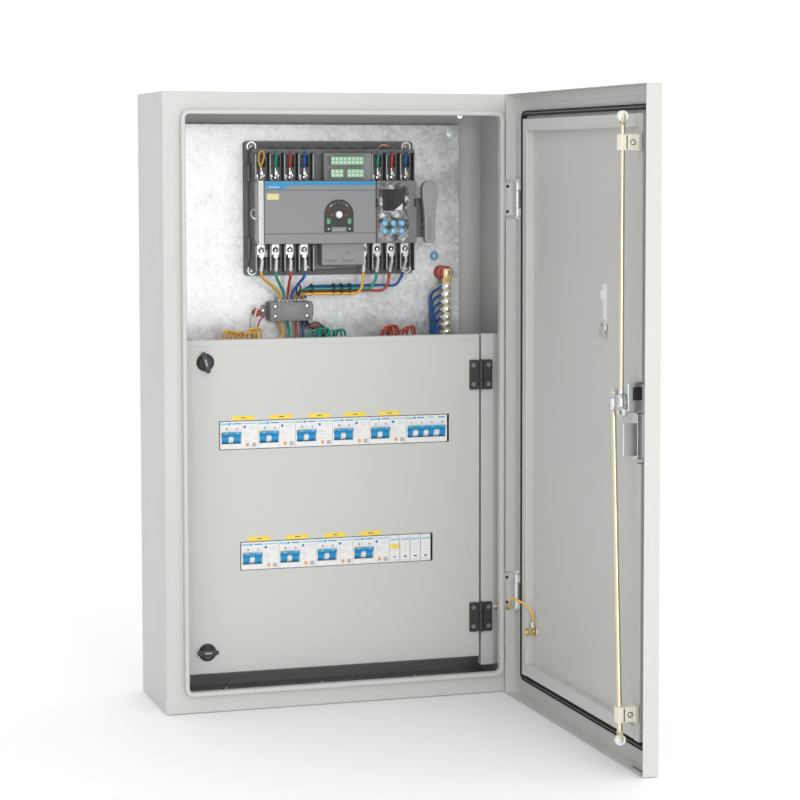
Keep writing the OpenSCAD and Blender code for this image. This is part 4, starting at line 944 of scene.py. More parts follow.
def buildToggle(node, left, z, levers):    # a shared drum in white with blue levers joined by one bar
    e, zed = breaker["toggleE"], z + breaker["toggleDrop"]
    low, high = millimetres(node)
    width = high[0] - low[0]
    toggle = Maker()
    toggle.turned((left, e, zed), "t", barrel(width, 8.2, 0.4, 0.3), "white", 36)
    lean = spun(0, e, zed, -breaker["toggleLean"], "X")
    for a, b in levers:
        toggle.turned((left + a, e, zed), "t", barrel(b - a, 8.3, 0.3, 0.4), "blue", 36)
        toggle.block((left + a, left + b), (e - 12, e - 3), (zed - 3.2, zed + 2.2), "blue", 0.5, turn=lean)
    toggle.block((left, left + width), (e - 17, e - 8.6), about(zed, 2.2), "blue", 0.9, 3, turn=lean)
    for a, b in levers:
        toggle.block((left + a + 3.4, left + b - 3.4), (e - 17.05, e - 16.8), about(zed, 0.4), "white", 0, turn=lean)
    toggle.finish(node + "Lever", node, "blue_plastic", [node])


def buildSurgeProtector():
    low, high = millimetres("surge_protector")
    left, z = low[0] - breaker["clear"], (low[2] + high[2]) / 2
    surge = Maker()
    pitch = breaker["wideWidth"] / 4
    for k in range(4):
        a = left + k * pitch + 0.25
        b = left + (k + 1) * pitch - 0.25
        surge.plate([deviceOutline(z)], (a, b), "white", "ezt", soft=0.35)
        surge.block((a + 0.5, b - 0.5), (33.9, 35.4), about(z, 19.5), "whiteLabelAndGlare", 0.5)
        flatMark(surge, (a + 2, b - 6), (z + 14, z + 17), "printSky", 33.9)
        flatMark(surge, (b - 5, b - 2.4), (z + 14.6, z + 17), "skyBlue", 33.9)
        for row in range(3):
            flatMark(surge, (a + 6, b - 5.5), (z + 7 - 4.6 * row, z + 7.5 - 4.6 * row), "printGreyAndHighlight", 33.9, 0.08)
        surge.block((a + 6.4, b - 6.4), (33.6, 34.1), (z - 14.6, z - 12.2), "printDarkAndShade" if k else "printGreen", 0.2)
        surge.block((a + 3.5, b - 3.5), (33.4, 34.2), (z - 18.6, z - 17.2), "white", 0.25)
        for side in (-1, 1):
            # flat dark grey disc: painted shade of the empty terminal funnel
            surge.turned(((a + b) / 2, 51, z + side * 31.5), "e", [(-0.05, 4.2), (-0.05, 3.4), (0.02, 0)],
                         "darkGreyAndShade", 18)
    flatMark(surge, (left + 1.5, left + 16), (z + 0.5, z + 7.5), "yellowLabel", 33.8, 0.1)
    surge.finish("surgeProtector", "cabinet", "white_plastic", ["surge_protector"])


stickers = {"across": (20, 21, 22, 20, 16), "tilt": (0.6, -0.8, 0.4, -0.3, 0.9), "length": 37, "lowerRow": -8}


def buildStickers():       # circuit stickers on the inner door, one over each breaker
    face = millimetres("inner_door")[0][1]
    labels = Maker()
    for start, z, number in breaker["rows"]:
        for k in range(number):
            t = start + k * breaker["moduleWidth"] + stickers["across"][k]
            if number == 4:
                t += stickers["lowerRow"]
            lean = spun(t + 18, 0, z + 27, stickers["tilt"][k])
            labels.plate([roundRect((t, t + stickers["length"]), (z + 24.4, z + 31.4), 1.6, 3)],
                         (face - 0.25, face + 0.02), "yellowLabel", turn=lean)
            labels.plate([roundRect((t + 15, t + 23), (z + 27.3, z + 28.7), 0.4, 2)], (face - 0.3, face - 0.2),
                         "printDarkAndShade", turn=lean)
    labels.finish("circuitStickers", "inner_door", "painted_steel")


switch = {
    "left": 173, "width": 294, "bottom": 698, "height": 225, "face": 95, "wall": 180, "cover": (753, 857),
    "poles": (191, 367), "pitch": 24.5, "panelLeft": 190, "controlLeft": 381, "controlWidth": 69, "shaft": (316, 801),
}
phaseFinish = ("wireYellow", "wireGreen", "wireRed", "wireBlue")


def polePositions(upper):
    return [(g + k * switch["pitch"], k, g == switch["poles"][0]) for g in switch["poles"] for k in range(4)
            if not upper or g == switch["poles"][0] or k > 0]


def buildSwitchBase():
    l, w, b, h = switch["left"], switch["width"], switch["bottom"], switch["height"]
    wall, face = switch["wall"], switch["face"]
    base = Maker()
    lugs = [(t, z) for t in (l + 12, l + w - 12) for z in (b + 9, b + h - 9)]
    base.plate([roundRect((l, l + w), (b, b + h), 6)] + [circle(t, z, 3) for t, z in lugs], (wall - 12, wall),
               "darkGreyAndShade", soft=0.8)
    base.block((l + 6, l + w - 8), (face + 50, wall - 11), (b + 14, b + h - 13), "darkGreyAndShade", 1.2)
    pockets = {False: (b + 13, b + 32), True: (b + h - 43, b + h - 24)}
    base.block((l + 6.2, l + w - 8.2), (face + 36, face + 51), (b + 32, b + h - 43), "darkGreyAndShade", 0.8)
    for upper in (False, True):
        low, high = pockets[upper]
        walls = [l + 6] + [edge for pole in polePositions(False) for edge in (pole[0] - 9, pole[0] + 9)] + [l + w - 8]
        for a, c in zip(walls[::2], walls[1::2]):
            base.block((a, c), (face + 36, face + 51), (low, high), "darkGreyAndShade", 0.5)
    base.block((l + 6, l + w - 8), (face + 36, face + 51), (b + h - 24, b + h - 13), "darkGreyAndShade", 0.9)
    base.block((l + w - 9, l + w + 12), (face + 30, wall - 12), (switch["cover"][0] + 8, switch["cover"][1] - 30),
               "darkGreyAndShade", 1.0)
    for k in range(8):             # moulded ribs along the top edge and down the left side
        base.block((l + 44 + 27 * k, l + 52 + 27 * k), (face + 38, wall - 12), (b + h - 13.4, b + h - 11.6), "black",
                   0.3)
    for z in (b + 50, b + 172):
        base.block((l + 1.5, l + 5.5), (wall - 30, wall - 12), about(z, 14), "darkGreyAndShade", 0.8)
    for t, z in lugs:
        base.turned((t, wall - 12, z), "e", [(-0.9, 7.6), (-0.9, 8.4), (0.2, 8.4)], "zinc", 28)
        base.turned((t, wall - 13, z), "e", [(-3.0, 0), (-3.0, 2.2), (-2.4, 4.2), (-1.2, 5.6), (0, 6), (0.2, 6)],
                    "tinned", 24)
        # dark grey cross on the lug screw: painted shade of its cross slot
        base.block(about(t, 3.6), (wall - 16.08, wall - 15.7), about(z, 0.5), "darkGreyAndShade", 0, turn=spun(t, 0, z, 30))
        base.block(about(t, 3.6), (wall - 16.08, wall - 15.7), about(z, 0.5), "darkGreyAndShade", 0, turn=spun(t, 0, z, 120))
    label = (l + 5, l + 29)
    base.plate([roundRect(label, (b + 27, b + 38), 0.8, 2)], (wall - 12.2, wall - 11.9), "whiteLabelAndGlare")
    base.block((l + 6.5, l + 34), (face + 35.7, face + 36.1), (b + 33, b + 44), "whiteLabelAndGlare", 0.05)
    for k in range(3):
        base.block((l + 9, l + 30 - 5 * k), (face + 35.6, face + 35.8), (b + 41 - 3 * k, b + 41.6 - 3 * k),
                   "printGreyAndHighlight", 0)
    base.finish("switchBase", "cabinet", "dark_grey_plastic", ["ats_base"])


def buildSwitchCover():
    face, (z0, z1) = switch["face"], switch["cover"]
    l, r = switch["panelLeft"], switch["controlLeft"] - 0.4
    cover = Maker()
    bands = ((z0, z0 + 15.9, 0.0), (z0 + 17.4, z1 - 17.4 + 1.3, 0.5), (z1 - 14.6, z1, 0.0))
    for low, high, back in bands:      # lower rail, inset panel and upper rail, with the grooves between
        cover.block((l, r), (face + back, face + 30), (low, high), "midGrey", 0.9, 3)
    cover.block((l + 0.6, r - 0.6), (face + 1.6, face + 36), (z0 + 0.6, z1 - 0.6), "midGrey", 0.4)
    cover.block((l + 0.2, r - 0.3), (face - 0.14, face + 4), (z1 - 7.2, z1 - 0.8), "skyBlue", 0.12)
    cover.plate([filleted([(l + 1, z1 - 13.4), (l + 34, z1 - 13.4), (l + 40, z1 - 7), (l + 1, z1 - 7)],
                          [1.5, 3, 1, 1])], (face - 0.12, face + 1), "skyBlue")
    cover.plate([roundRect((l + 5, l + 25), (z1 - 11.6, z1 - 8.8), 1, 2)], (face - 0.2, face), "printSky")
    cover.plate([roundRect((l + 3.5, l + 24), (z1 - 31, z1 - 21), 0.5, 2)], (face + 0.3, face + 0.55), "paleLabel")
    cover.plate([roundRect((l + 8, l + 17), (z1 - 26.6, z1 - 25.4), 0.3, 2)], (face + 0.25, face + 0.4),
                "yellowLabel")
    cover.turned((l + 40, face + 0.5, z1 - 44), "e", [(-0.1, 0), (-0.1, 2.2), (0, 2.5)], "midGrey", 20)
    cover.block((l - 9, l - 0.1), (face + 6, face + 36), (z0 - 0.5, z1 + 0.5), "sleeve", 0.8)
    cover.block((l - 9.1, l - 5.6), (face + 5.2, face + 8), (z0 + 4, z1 - 6), "whiteLabelAndGlare", 0.5)
    for k in range(6):
        cover.block((l - 6, l - 5), (face + 5.8, face + 6.4), (z0 + 10 + 15 * k, z0 + 15 + 15 * k), "printGreyAndHighlight", 0.1)
    tower = (switch["left"] + 122, switch["poles"][1] + 0.5 * switch["pitch"] - 2)
    cover.block(tower, (face + 14, face + 36), (z1, z1 + 46), "midGrey", 1.0)
    cover.block((tower[0] + 2, tower[0] + 6), (face + 12.8, face + 15), (z1 + 3, z1 + 42), "darkGreyAndShade", 0.3)
    ring = [(l - 11 + 7.5 * math.cos(a), face + 22 + 3.85 * math.sin(a), 802 + 8 * math.sin(a)) for a in angles(28)]
    cover.tube(ring, 1.5, "zinc", 10, closed=True)
    cover.finish("switchCover", "cabinet", "mid_grey_plastic", ["ats_housing"])


def buildDial():
    face, (t, z) = switch["face"], switch["shaft"]
    front = face - 1.5
    arch = [(t - 25, z - 29), (t + 25, z - 29)] + arcPoints(t, z, 25, 0, 180, 30)
    dial = Maker()
    dial.plate([arch, circle(t, z, 7, 28)], (front + 0.3, face + 0.4), "black", soft=0.25)
    rim = [(t - 23.6, z - 27.6), (t + 23.6, z - 27.6)] + arcPoints(t, z, 23.6, 0, 180, 30)
    dial.plate([rim, circle(t, z, 8.6, 28)], (front + 0.05, front + 0.4), "black", soft=0.2)
    strokes = ((60, 74, 20.5, "printGreyAndHighlight"), (106, 120, 20.5, "printGreyAndHighlight"), (84, 96, 21, "printGreen"),
               (150, 166, 19, "printRed"), (14, 30, 19, "printRed"), (124, 140, 20.5, "whiteLabelAndGlare"),
               (40, 56, 20.5, "whiteLabelAndGlare"))
    for start, end, radius, finish in strokes:
        line = [(u, front - 0.02, v) for u, v in arcPoints(t, z, radius, start, end, 6)]
        dial.tube(line, 0.7 if finish == "printGreyAndHighlight" else 1.1, finish, 6, 0.16)
    for side in (-1, 1):
        dial.block(about(t + side * 18, 2.8), (front - 0.05, front + 0.3), (z - 15, z - 7), "printGreen", 0.1)
        dial.block(about(t + side * 18, 1.4), (front - 0.08, front + 0.2), (z - 25, z - 22.6), "whiteLabelAndGlare", 0.05)
        dial.plate([[(t + side * 9.4, z - 0.6), (t + side * 13.6, z - 2.2), (t + side * 13.6, z + 1.4)]],
                   (front - 0.06, front + 0.2), "printRed")
    dial.block(about(t, 13), (front, face + 0.4), (z - 28.6, z - 20.5), "midGrey", 0.6)
    dial.block(about(t, 5), (front - 0.05, front + 0.3), (z - 25.4, z - 24.6), "printGreyAndHighlight", 0)
    dial.finish("dialPlate", "cabinet", "black_plastic", ["indicator_plate"])
    shaft = Maker()
    shaft.turned((t, face - 4, z), "e", [(8, 0), (8, 3.4), (0.5, 3.4), (0, 3.9), (0, 5.4), (0.6, 6), (38, 6),
            (38, 0)], "tinned", 32)
    # dark disc inside the shaft's socket: painted shade of the bore
    shaft.turned((t, face - 2.4, z), "e", [(0, 0), (0, 3.3), (0.4, 3.4)], "printDarkAndShade", 6)
    shaft.turned((t, face - 3.2, z), "e", [(-0.06, 4.3), (-0.06, 5.0), (0.1, 5.0)], "zinc", 32)
    shaft.turned((t, face - 3.9, z + 4.7), "e", [(-0.05, 0), (-0.05, 0.7), (0.2, 0.7)], "printRed", 12)
    shaft.finish("dialShaft", "ats_spindle", "tinned", ["ats_spindle"])


def buildController():
    face, (z0, z1) = switch["face"], switch["cover"]
    l = switch["controlLeft"]
    front = face - 3
    unit = Maker()
    keys = [(l + 14 + 15 * (i % 3), z0 + 33 - 13 * (i // 3)) for i in range(6)]
    window = roundRect((l + 9, l + 49), (z0 + 53, z0 + 91), 1)
    width = switch["controlWidth"]
    unit.plate([roundRect((l, l + width), (z0, z1), 2)] + [circle(t, z, 5.05, 24) for t, z in keys] + [window],
               (front, front + 6), "darkGreyAndShade", soft=0.7)
    unit.block((l + 0.3, l + width - 0.3), (front + 5.8, face + 36), (z0 + 0.3, z1 - 0.3), "darkGreyAndShade", 0.8)
    unit.block((l + 8.5, l + 49.5), (front + 1.6, front + 6), (z0 + 52.5, z0 + 91.5), "screen", 0.2)
    # white triangle on the screen: a painted glare reflection, not a label
    unit.plate([[(l + 31, z0 + 54.5), (l + 45, z0 + 54.5), (l + 45.5, z0 + 66)]], (front + 1.5, front + 1.62),
               "whiteLabelAndGlare")
    edge = [(2.2, 4), (9, 2.4), (30, 3.4), (46, 2.2), (54.5, 7), (55.6, 30), (53.6, 50), (56.4, 72), (55, 88),
            (47, 99), (30, 101.6), (12, 101), (3, 100.4), (1.8, 60)]
    sheet = filleted([(l + u, z0 + v) for u, v in edge], [2] * len(edge), 3)
    film = [sheet, roundRect((l + 10, l + 48), (z0 + 54, z0 + 90), 1.4)] + [circle(t, z, 5.6, 24) for t, z in keys]
    unit.plate(film, (front - 0.15, front + 0.02), "film")
    for side in (l - 1.2, l + width - 4.5):
        unit.block((side, side + 4.4), (front - 0.3, face + 6), (z0 + 60, z0 + 74), "black", 0.5)
        for step in (0, 9):
            unit.block((side - 0.2, side + 1.6), (front - 0.3, face + 3), (z0 + 61 + step, z0 + 64 + step), "black",
                       0.3)
    unit.finish("controllerUnit", "cabinet", "dark_grey_plastic", ["ats_controller"])
    for i, (t, z) in enumerate(keys):
        key, name = Maker(), "controller_button_%d" % (i + 1)
        dome = [(0, 0), (0.05, 1.2), (0.3, 2.8), (0.9, 4.0), (1.8, 4.75), (3.0, 5.0), (9.4, 5.0), (9.5, 0)]
        key.turned((t, front - 2.5, z), "e", dome, "paleKey", 28)
        key.finish("key%d" % (i + 1), name, "pale_blue_keys", [name])


def buildPaddle():         # the stowed manual handle: slim shank swelling to a round head
    t, e0, z = millimetres("ats_handle")[0]
    e1 = switch["face"] + 16
    paddle = Maker()
    halves = ((0, 5), (1.2, 7.4), (3.5, 8.8), (8, 9.4), (24, 9.3), (40, 9.6), (52, 10.4), (64, 11.8), (74, 13.0),
              (84, 13.8), (92, 13.6), (98, 12.0), (102, 9.2), (104.2, 5.6), (105, 2))
    middle = t + 12
    outline = [(middle + half, z + up) for up, half in halves]
    outline += [(middle - half, z + up) for up, half in reversed(halves)]
    paddle.plate([outline], (e0 + 0.6, e1), "handleGrey", soft=2.4)
    paddle.turned((t + 8, switch["face"] + 15.5, switch["cover"][0] + 31), "e",
                  [(0, 4), (29.6, 4), (30.5, 3.2), (30.5, 0)], "zinc", 24)
    paddle.plate([filleted([(t + 6, z + 6), (t + 14, z + 6), (t + 14.5, z + 44), (t + 7, z + 44)], [2, 2, 2, 2])],
                 (e0 + 0.45, e0 + 1), "midGrey", soft=0.2)
    for level in (18, 38):
        paddle.block((t + 18.6, t + 21.4), (e0 + 3, e1 - 1.4), (z + level, z + level + 9), "black", 0.5)
    paddle.finish("manualPaddle", "ats_handle", "mid_grey_plastic", ["ats_handle"])


def buildSwitchTerminals():
    face, z1, b = switch["face"], switch["cover"][1], switch["bottom"]
    pads, walls = Maker(), Maker()
    for upper in (False, True):
        zed = z1 + 1 if upper else b + 34
        for t, k, _ in polePositions(upper):
            screw = zed + 4 if upper else zed + 10
            if upper:                      # only the forked tongue and the screw's head clear the cover
                for side in (-1, 1):
                    tongue = sorted((t + side * 1.2, t + side * 3.6))
                    pads.block(tongue, (face + 32.5, face + 34), (zed, zed + 11), "tinned", 0.4,
                               turn=spun(t, 0, zed, side * 24))
                pads.block(about(t, 6.4), (face + 33.4, face + 36), (zed, zed + 8), "zinc", 0.6)
            else:
                pads.block(about(t, 6.6), (face + 32, face + 36), (zed + 2, zed + 20), "zinc", 0.6)
            pads.turned((t, face + 31.4, screw), "e", [(-1.0, 3.2), (-1.4, 4.0), (0, 5.0), (0.8, 5.0)], "zinc", 24)
            pads.turned((t, face + 26, screw), "e", [(0, 0), (0, 2.6), (0.6, 3.6), (1.6, 4.0), (5, 4.0)], "tinned",
                        20)
            # dark bar on the screw head: painted shade of its slot
            pads.block(about(t, 2.8), (face + 25.92, face + 26.3), about(screw, 0.6), "printDarkAndShade", 0,
                       turn=spun(t, 0, screw, 35 + 40 * k))
            if not upper:              # crimped lug on each power lead; the white sleeves are drawn with the wires
                pads.plate([roundRect(about(t, 3.8), (zed - 4, zed + 7), 3.0)], (face + 28.6, face + 31), "tinned",
                           soft=0.3)
                pads.turned((t, face + 27.4, zed - 3), "z", [(0, 2.7), (-8, 2.9)], "tinned", 16)
    for first, start in ((switch["poles"][0], 0), (switch["poles"][1], 1)):
        for k in range(start, 5):
            t = first + (k - 0.5) * switch["pitch"]
            for zed in (b + 8, z1 + 0.5):
                shape = filleted([(face + 16, zed), (face + 36, zed), (face + 36, zed + 46), (face + 16, zed + 46)],
                                 [2, 0, 0, 2])
                walls.plate([shape], about(t, 0.8), "black", "ezt", soft=0.2)
                # grey strip on each barrier's front edge: a painted highlight
                walls.block(about(t, 0.95), (face + 15.9, face + 16.5), (zed + 2, zed + 44), "printGreyAndHighlight", 0.1)
    pads.finish("switchLugs", "cabinet", "tinned", ["ats_terminals"])
    walls.finish("poleBarriers", "cabinet", "black_plastic", ["phase_barriers"])


def buildSignalTerminals():
    face, z1, l = switch["face"], switch["cover"][1], switch["left"]
    plugs = Maker()
    for row in (0, 1):
        z = z1 + 5 + 21 * row
        groups = ((0, 4), (4, 8)) if row else ((0, 3), (4, 8))
        plugs.block((l + 130, l + 188), (face + 7.5, face + 13.9), (z, z + 15), "darkGreyAndShade", 0.4)
        for a, b in groups:
            plugs.block((l + 131.2 + 7 * a, l + 130.6 + 7 * b), (face + 4, face + 8), (z + 0.6, z + 14.4), "green",
                        0.5)
            for k in range(a, b):
                t = l + 134.5 + 7 * k
                plugs.turned((t, face + 3.98, z + 10.4), "e", [(0, 1.9), (0, 1.6), (0.4, 1.5), (0.4, 0)], "tinned",
                             16)
                plugs.block(about(t, 2.1), (face + 3.9, face + 4.3), (z + 2.6, z + 6.2), "sleeve", 0.2)
                plugs.block((t + 3.1, t + 3.9), (face + 3.8, face + 5), (z + 1, z + 14), "green", 0.1)
    plugs.finish("signalPlugs", "cabinet", "green_plastic", ["signal_terminals"])


def buildAuxBlock():
    face, z0, l = switch["face"], switch["cover"][0], switch["left"]
    right = switch["poles"][1] - 5
    aux = Maker()
    aux.block((l + 116, right), (face + 8, face + 24), (z0 - 36, z0 - 0.2), "midGrey", 0.9)
    aux.block((l + 116, right - 7), (face + 23.6, face + 36), (z0 - 36, z0 - 0.2), "midGrey", 0.6)
    for k in range(2):
        a = l + 122 + 30 * k
        for step in range(5):
            aux.block((a + 4 * step, a + 2.6 + 4 * step), (face + 7.85, face + 8.6), (z0 - 31, z0 - 27), "darkGreyAndShade",
                      0.1)
        aux.block((a, a + 18), (face + 7.9, face + 8.2), (z0 - 24.6, z0 - 24), "printGreyAndHighlight", 0)
    aux.turned((l + 160, face + 8, z0 - 16), "e", [(-0.05, 0), (-0.05, 1.3), (0.3, 1.3)], "printDarkAndShade", 16)
    aux.block((l + 92, l + 146), (face + 36.5, face + 38), (z0 - 42.5, z0 - 38), "whiteLabelAndGlare", 0.3)
    aux.finish("auxBlock", "cabinet", "mid_grey_plastic", ["aux_block"])


wiring = {
    "leadRadius": 2.4, "neutralRadius": 2.2, "gap": 1.2, "blockLeft": 211, "blockWidth": 73, "blockTop": 654,
    "blockLow": 622, "leadTop": 726, "crossTies": (297, 318, 356, 369.5, 384), "dropTies": (560, 590, 618),
    "neutrals": {"count": 7, "first": 30, "pitch": 13},
    "looms": ((120, "wireYellow"), (264, "wireGreen"), (386, "wireRed")), "loomRadius": 1.9,
}


def leftRoute(k):
    t, b, top = switch["poles"][0] + k * switch["pitch"], wiring["blockLeft"] + 17 + 7 * k, wiring["blockTop"]
    return [(t, 120, wiring["leadTop"]), (t, 124, wiring["leadTop"] - 26), ((t + b) / 2, 138, wiring["leadTop"] - 42),
            (b, 150, top + 14), (b, 156, top + wiring["gap"])]


def rightRoute(k):
    r, top = switch["poles"][1] + k * switch["pitch"], wiring["blockTop"]
    c, e = wiring["blockLeft"] + 45 + 6 * k, 128 + 6 * k
    z = top + (14, 22, 18, 26)[k]
    return [(r, 120, wiring["leadTop"]), (r, e, wiring["leadTop"] - 30), (r - 2, e, z + 12), (r - 12, e, z),
            (r - 40, e, z), (c + 50, e, z), (c + 16, e, z), (c + 3, (e + 156) / 2, z - 3), (c, 156, z - 8),
            (c, 156, top + wiring["gap"])]


def feederRoute(k):
    f, g, top = wiring["blockLeft"] + 17 + 15 * k, 128.5 + 60 * k, 485.5
    return [(f, 160, wiring["blockLow"] - wiring["gap"]), (f, 158, wiring["blockLow"] - 30), (g, 140, 560),
            (g, 104, top + 32.5), (g, 79, top + 14), (g, 76, top + wiring["gap"])]


def neutralHeight(foot, k):
    return foot + wiring["neutrals"]["first"] + wiring["neutrals"]["pitch"] * k


def neutralRoute(k):
    base = millimetres("neutral_bar")[0]
    z, e, l = neutralHeight(base[2], k), 140 + 5.2 * k, base[0] - wiring["gap"]
    return [(l, 141, z), (l - 4, 141, z - 1), (l - 9.8 - 0.2 * k, e, base[2] + 18 + 12 * k),
            (l - 10.8, e, base[2] + 6 * k), (l - 10.8, e, base[2] - 40)]


def buildPowerWires():
    wires = Maker()
    radius = wiring["leadRadius"]
    for k, finish in enumerate(phaseFinish):
        for route in (leftRoute(k), rightRoute(k), feederRoute(k)):
            path = curveThrough(route, 7)
            wires.tube(path, radius, finish, 12)
            if route[0][2] > wiring["leadTop"] - 1:
                wires.tube(path[:6], radius + 0.5, "sleeve", 14)
                wires.tube(path[-3:], radius + 0.35, "sleeve", 12)
    for k in range(wiring["neutrals"]["count"]):
        wires.tube(curveThrough(neutralRoute(k), 7), wiring["neutralRadius"], "wireBlue", 12)
        lug = neutralRoute(k)[0]
        wires.turned((lug[0] + 1, lug[1], lug[2]), "t", [(-6, 2.7), (0, 2.8)], "tinned", 14)
    for t in wiring["crossTies"]:      # nylon ties round the cross run
        loop = [(t - 40 + 1.2 * math.sin(a), 137 + 13.5 * math.cos(a), 674.5 + 9.2 * math.sin(a)) for a in angles(24)]
        wires.tube(loop, 1.25, "tie", 8, closed=True)
        wires.block((t - 42.4, t - 37.8), (122.4, 127), (671, 675.6), "tie", 0.5)
    barLeft = millimetres("neutral_bar")[0][0]
    for z in wiring["dropTies"]:
        loop = [(barLeft - 11.4 + 4.2 * math.cos(a), 156 + 19 * math.sin(a), z + 0.8 * math.sin(a))
                for a in angles(24)]
        wires.tube(loop, 1.1, "tie", 8, closed=True)
    buildHiddenBundles(wires)
    wires.finish("powerWires", "cabinet", "wire_cover", ["power_wires"])


def buildHiddenBundles(wires):     # looms that rise over the rows and show above the inner door
    rng = random.Random(7)
    for start, finish in wiring["looms"]:
        for k in range(7):
            a = start + 8.4 * k + rng.uniform(-2, 2)
            b, e = a + rng.uniform(11, 17), 90 + 7 * (k % 4)
            top = 611 + rng.uniform(-4, 3)
            route = [(a - 4, e, 520), (a - 2, e + 2, 580), (a, e, top - 5), ((a + b) / 2, e - 2, top),
                     (b, e + 2, top - 5), (b + 3, e + 3, 580), (b + 5, e, 520)]
            wires.tube(curveThrough(route, 6), wiring["loomRadius"], finish, 10)


def buildControlWires():
    wires = Maker()
    z = switch["cover"][1]
    for t, k, left in polePositions(True):
        route = [(t - 2, 118, z + 22), (t - 3, 112, z + 34), (t, 116, z + 48), (t + 3, 124, z + 40),
                 (t + 3, 129, z + 24)]
        if left and k == 0:
            route = [(t - 2, 118, z + 22), (t - 7, 112, z + 34), (t - 5, 113, z + 47), (t + 1, 114, z + 48),
                     (t + 3, 116, z + 38), (t - 1, 118, z + 26)]
        finish = phaseFinish[k] if left or k < 3 else "wireBlue"
        wires.tube(curveThrough(route, 7), 1.3, finish, 10)
        wires.tube(curveThrough(route, 7)[:5], 2.1, finish, 10)
        wires.turned((t - 1.6, 118.6, z + 14), "z", [(0, 1.7), (9.5, 1.9)], "tinned", 12)
        wires.plate([roundRect(about(t, 2.4), (z + 9, z + 16), 2)], (119.6, 121), "tinned", soft=0.2)
    wires.tube(curveThrough([(392, 126, z + 52), (399, 120, z + 60), (410, 118, z + 58), (418, 122, z + 62)], 8),
               1.0, "copper", 8)
    wires.finish("controlWires", "cabinet", "wire_cover", ["control_wires"])


def buildTerminalBlock():
    l, w, z0, z1 = wiring["blockLeft"], wiring["blockWidth"], wiring["blockLow"], wiring["blockTop"]
    wall = switch["wall"]
    block = Maker()
    block.block((l - 9, l + w + 9), (wall - 5, wall), (z0 + 6, z0 + 26), "midGrey", 0.8)
    block.block((l, l + w), (wall - 33.4, wall - 0.5), (z0, z1), "midGrey", 1.1)
    block.block((l + 18, l + w - 18), (wall - 33.9, wall - 33), (z0 + 2, z1 - 2), "midGrey", 0.4)
    for k in (0, 3):
        t = l + 9 + 18.3 * k
        for z in (z0 + 7.5, z1 - 7.5):
            # dark grey ring round the screw: painted shade of its funnel
            block.turned((t, wall - 33.4, z), "e", [(-0.1, 4.4), (-0.1, 3.9), (0.02, 3.4)], "darkGreyAndShade", 20)
            block.turned((t, wall - 33.4, z), "e", [(-0.5, 0), (-0.5, 2.4), (-0.1, 3.0), (0.05, 3.0)], "tinned", 20)
            # dark bar on the screw head: painted shade of its slot
            block.block(about(t, 2.2), (wall - 33.98, wall - 33.8), about(z, 0.4), "printDarkAndShade", 0,
                        turn=spun(t, 0, z, 20 + 50 * k))
    for row, width in enumerate((26, 30, 24, 16)):
        block.block((l + 36.5 - width / 2, l + 36.5 + width / 2), (wall - 34.02, wall - 33.8),
                    (z1 - 11 - 4.2 * row, z1 - 9.8 - 4.2 * row), "printGreyAndHighlight", 0)
    for t in (l - 5.5, l + w + 5.5):
        block.turned((t, wall - 5, z0 + 16), "e", [(-2.2, 0), (-2.2, 1.8), (-1.6, 3.4), (0.1, 3.8)], "zinc", 18)
    block.turned((l - 17, wall - 14, z0 + 14), "e", [(0, 5), (3, 6.4), (7, 5), (11, 6.4), (14, 6.4)], "redInsulator",
                 24)
    for k, finish in enumerate(("wireBlack", "wireRed", "wireBlack", "wireBlack")):
        wires = curveThrough([(l + 58 + 3 * k, wall - 16 + k, z0 + 0.6), (l + 62 + 5 * k, wall - 20, z0 - 9 - 2 * k),
                              (l + 84 + 4 * k, wall - 22, z0 - 4 - 3 * k),
                              (l + 92 + 3 * k, wall - 20, z0 - 16 - 2 * k), (l + 86, wall - 16, z0 - 40),
                              (l + 84, wall - 20, z0 - 62)], 8)
        block.tube(wires, 1.3, finish, 8)
    block.tube(curveThrough([(l - 12, wall - 18, z0 + 24), (l - 22, wall - 24, z0 + 18), (l - 26, wall - 24, z0 - 6),
                             (l - 20, wall - 20, z0 - 50)], 8), 1.6, "sleeve", 8)
    block.tube(curveThrough([(l - 8, wall - 20, z0 + 8), (l - 18, wall - 26, z0 - 2), (l - 22, wall - 24, z0 - 30),
                             (l - 16, wall - 20, z0 - 60)], 8), 1.5, "wireRed", 8)
    block.finish("terminalBlock", "cabinet", "mid_grey_plastic", ["terminal_block"])


earthSticker = {"centre": (509, 727), "radius": 8.2}


